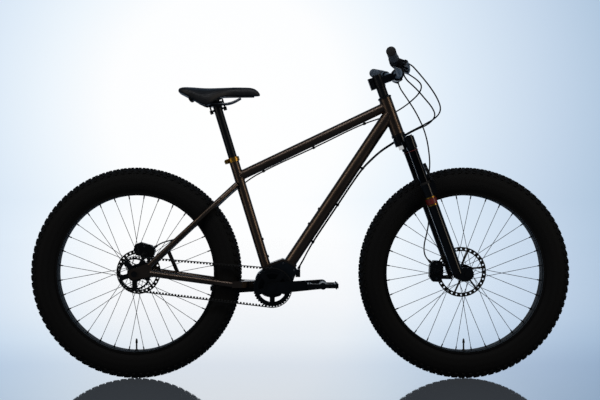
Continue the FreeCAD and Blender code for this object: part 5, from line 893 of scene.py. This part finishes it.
def pedal_washers(finishes):
    """Bright washer between each crank's eye and its pedal axle."""
    outline = [(7.1, 0.1), (12.6, 0.1), (13, 0.4), (13, 1.2), (12.5, 1.6), (7.6, 1.6), (7.1, 1.2)]
    for side, word in SIDES:
        axle = Vector(JOINTS[f"pedal_{word}_spin"]["pos_m"])
        foot = Vector((axle.x, side * CRANK_FACE, axle.z))
        piece = lathe(f"pedal_washer_{word}", closed(outline), foot, side * LEFT, 40)
        finish_piece(piece, finishes["steel"], "cranks")


# Stage: floor, surround, lights and camera


def world_glow():
    """Soft back light: a white glow behind the bicycle that fades to pale blue, dimmer behind the camera."""
    world = bpy.data.worlds.new("studio")
    world.use_nodes = True
    bpy.context.scene.world = world
    tree = world.node_tree
    around = add(tree, "ShaderNodeTexCoord").outputs["Generated"]
    heart = Vector((GLOW_COLUMN - CENTRE_COLUMN - CAMERA_ASIDE / PIXEL, CAMERA_BACK / PIXEL,
                    IMAGE_HEIGHT / 2 - GLOW_ROW)).normalized()
    apart = add(tree, "ShaderNodeVectorMath", {"operation": "DISTANCE", 1: heart}, {0: around})
    share = add(tree, "ShaderNodeMath", {"operation": "DIVIDE", 1: 2.0}, {0: apart.outputs["Value"]})
    colour = ramp(tree, share.outputs["Value"], [
        (0.0, "#ffffff"), (0.044, "#fdfeff"), (0.066, "#eef6fd"), (0.087, "#deebf8"), (0.123, "#c3d5e9"),
        (0.15, "#aac2da"), (0.25, "#8299b0"), (0.5, "#4a5764"), (1.0, "#2b333c")])
    background = tree.nodes["Background"]
    tree.links.new(colour, background.inputs["Color"])
    background.inputs["Strength"].default_value = 1.0


def floor():
    """Glossy pale sheet that mirrors the glow, with painted shade in its colour, darker near the bicycle and
    at the sides, and a faint painted glow on the near floor.
    """
    bpy.ops.mesh.primitive_plane_add(size=2000, location=(0, 0, 0))
    sheet = bpy.context.active_object
    sheet.name = "studio_floor"
    # Emission colour of a painted glow that lifts the near floor
    material, tree, shader, place = new_material("polished_acrylic_sheet",
                                                 {"Emission Color": linear("#c9d3e0")})
    apart = add(tree, "ShaderNodeSeparateXYZ", links={"Vector": place})
    depth = add(tree, "ShaderNodeMapRange", {"From Min": -2, "From Max": 18}, {"Value": apart.outputs["Y"]})
    # Painted shade: the floor's colour is darker near the bicycle and lighter towards the distance
    painted_depth_shade = ramp(tree, depth.outputs["Result"], [
        (0.07, "#bbc6d1"), (0.118, "#abbfd6"), (0.165, "#d0deec"), (0.285, "#e8ecf3"), (1.0, "#fbfcfe")])
    # Painted shade at the left and right sides, laid only on the near floor
    aside = add(tree, "ShaderNodeMapRange", {"From Min": -1.2, "From Max": 1.2},
                {"Value": apart.outputs["X"]})
    before = add(tree, "ShaderNodeMapRange",
                 {"From Min": 0.12, "From Max": 0.22, "To Min": 1.0, "To Max": 0.0},
                 {"Value": depth.outputs["Result"]})
    shade = add(tree, "ShaderNodeMix", {"data_type": "RGBA", "blend_type": "MULTIPLY"},
                {"Factor": before.outputs["Result"]})
    tree.links.new(painted_depth_shade, shade.inputs[6])
    sides = ramp(tree, aside.outputs["Result"], [(0.05, "#e0eff9"), (0.3, "#ffffff"), (0.58, "#ffffff"),
                                                 (0.83, "#cad9e6")])
    tree.links.new(sides, shade.inputs[7])
    tree.links.new(shade.outputs[2], shader.inputs["Base Color"])
    mirror = add(tree, "ShaderNodeMapRange", {"From Min": 0.2, "To Min": 0.82, "To Max": 1.0},
                 {"Value": depth.outputs["Result"]})
    tree.links.new(mirror.outputs["Result"], shader.inputs["Metallic"])
    cloud = add(tree, "ShaderNodeTexNoise", {"Scale": per_metre(900), "Detail": 3}, {"Vector": place})
    gloss = add(tree, "ShaderNodeMapRange", {"To Min": 0.02, "To Max": 0.05}, {"Value": cloud.outputs["Fac"]})
    near = add(tree, "ShaderNodeMapRange",
               {"From Min": 0.25, "From Max": 0.8, "To Min": 1.0, "To Max": 0.0},
               {"Value": depth.outputs["Result"]})
    dull = add(tree, "ShaderNodeMath", {"operation": "MULTIPLY"},
               {0: gloss.outputs["Result"], 1: near.outputs["Result"]})
    tree.links.new(dull.outputs["Value"], shader.inputs["Roughness"])
    # Painted glow: faint emission on the near floor, fading with distance
    painted_glow = add(tree, "ShaderNodeMath", {"operation": "MULTIPLY", 1: 0.05}, {0: near.outputs["Result"]})
    tree.links.new(painted_glow.outputs["Value"], shader.inputs["Emission Strength"])
    sheet.data.materials.append(material)


def softbox(name, place, aim, size, watts, code):
    """Rectangular soft light turned towards a point, which the mirroring floor doesn't show."""
    lamp = bpy.data.lights.new(name, "AREA")
    lamp.shape = "RECTANGLE"
    lamp.size, lamp.size_y = size
    lamp.energy = watts
    lamp.color = linear(code)[:3]
    holder = bpy.data.objects.new(name, lamp)
    bpy.context.scene.collection.objects.link(holder)
    holder.visible_camera = False
    unlit = bpy.data.collections.new(name + "_leaves_out")
    unlit.objects.link(bpy.data.objects["studio_floor"])
    unlit.collection_objects[0].light_linking.link_state = "EXCLUDE"
    holder.light_linking.receiver_collection = unlit
    holder.location = place
    holder.rotation_euler = (Vector(aim) - Vector(place)).to_track_quat("-Z", "Y").to_euler()


def camera():
    """Level camera square to the drive side, over the crank, with its lens shifted to the middle."""
    lens = bpy.data.cameras.new("photo_camera")
    lens.sensor_width = SENSOR
    lens.lens = SENSOR * CAMERA_BACK / (IMAGE_WIDTH * PIXEL)
    holder = bpy.data.objects.new("photo_camera", lens)
    bpy.context.scene.collection.objects.link(holder)
    across = (IMAGE_WIDTH / 2 - CENTRE_COLUMN) * PIXEL
    height = (GROUND_ROW - IMAGE_HEIGHT / 2) * PIXEL
    holder.location = (across + CAMERA_ASIDE, -CAMERA_BACK, height)
    lens.shift_x = -CAMERA_ASIDE / (IMAGE_WIDTH * PIXEL)
    holder.rotation_euler = (math.radians(90), 0, 0)
    bpy.context.scene.camera = holder


def stage():
    """Floor, glow, lights and camera."""
    bpy.context.scene.view_settings.view_transform = "Standard"
    world_glow()
    floor()
    softbox("left_strip", (-3.6, -2.6, 2.0), (0, 0, 1.2), (0.7, 4.0), 36, "#fff1dc")
    softbox("right_strip", (3.6, -2.2, 2.0), (0, 0, 1.2), (0.7, 4.0), 36, "#ffeed6")
    softbox("overhead", (0, -1.7, 3.2), (0, 0, 0.6), (3.0, 0.6), 24, "#f3f4f8")
    camera()


def build():
    """Dress the solids, model the pieces and set the stage."""
    finishes = dress_all()
    lines = {name: cord(name, finishes["hose"]) for name in CORDS}
    ferrules(lines, finishes)
    fork_bands(finishes)
    belt_teeth(finishes)
    tyres(finishes)
    grip_plugs(finishes)
    caliper_caps(finishes)
    saddle_bumper(finishes)
    pulley_ring(finishes)
    valves(finishes)
    weld_beads(finishes)
    gearbox_bolts(finishes)
    reservoirs(finishes)
    pedal_washers(finishes)
    padded_saddle(finishes["vinyl"])
    stage()


build()
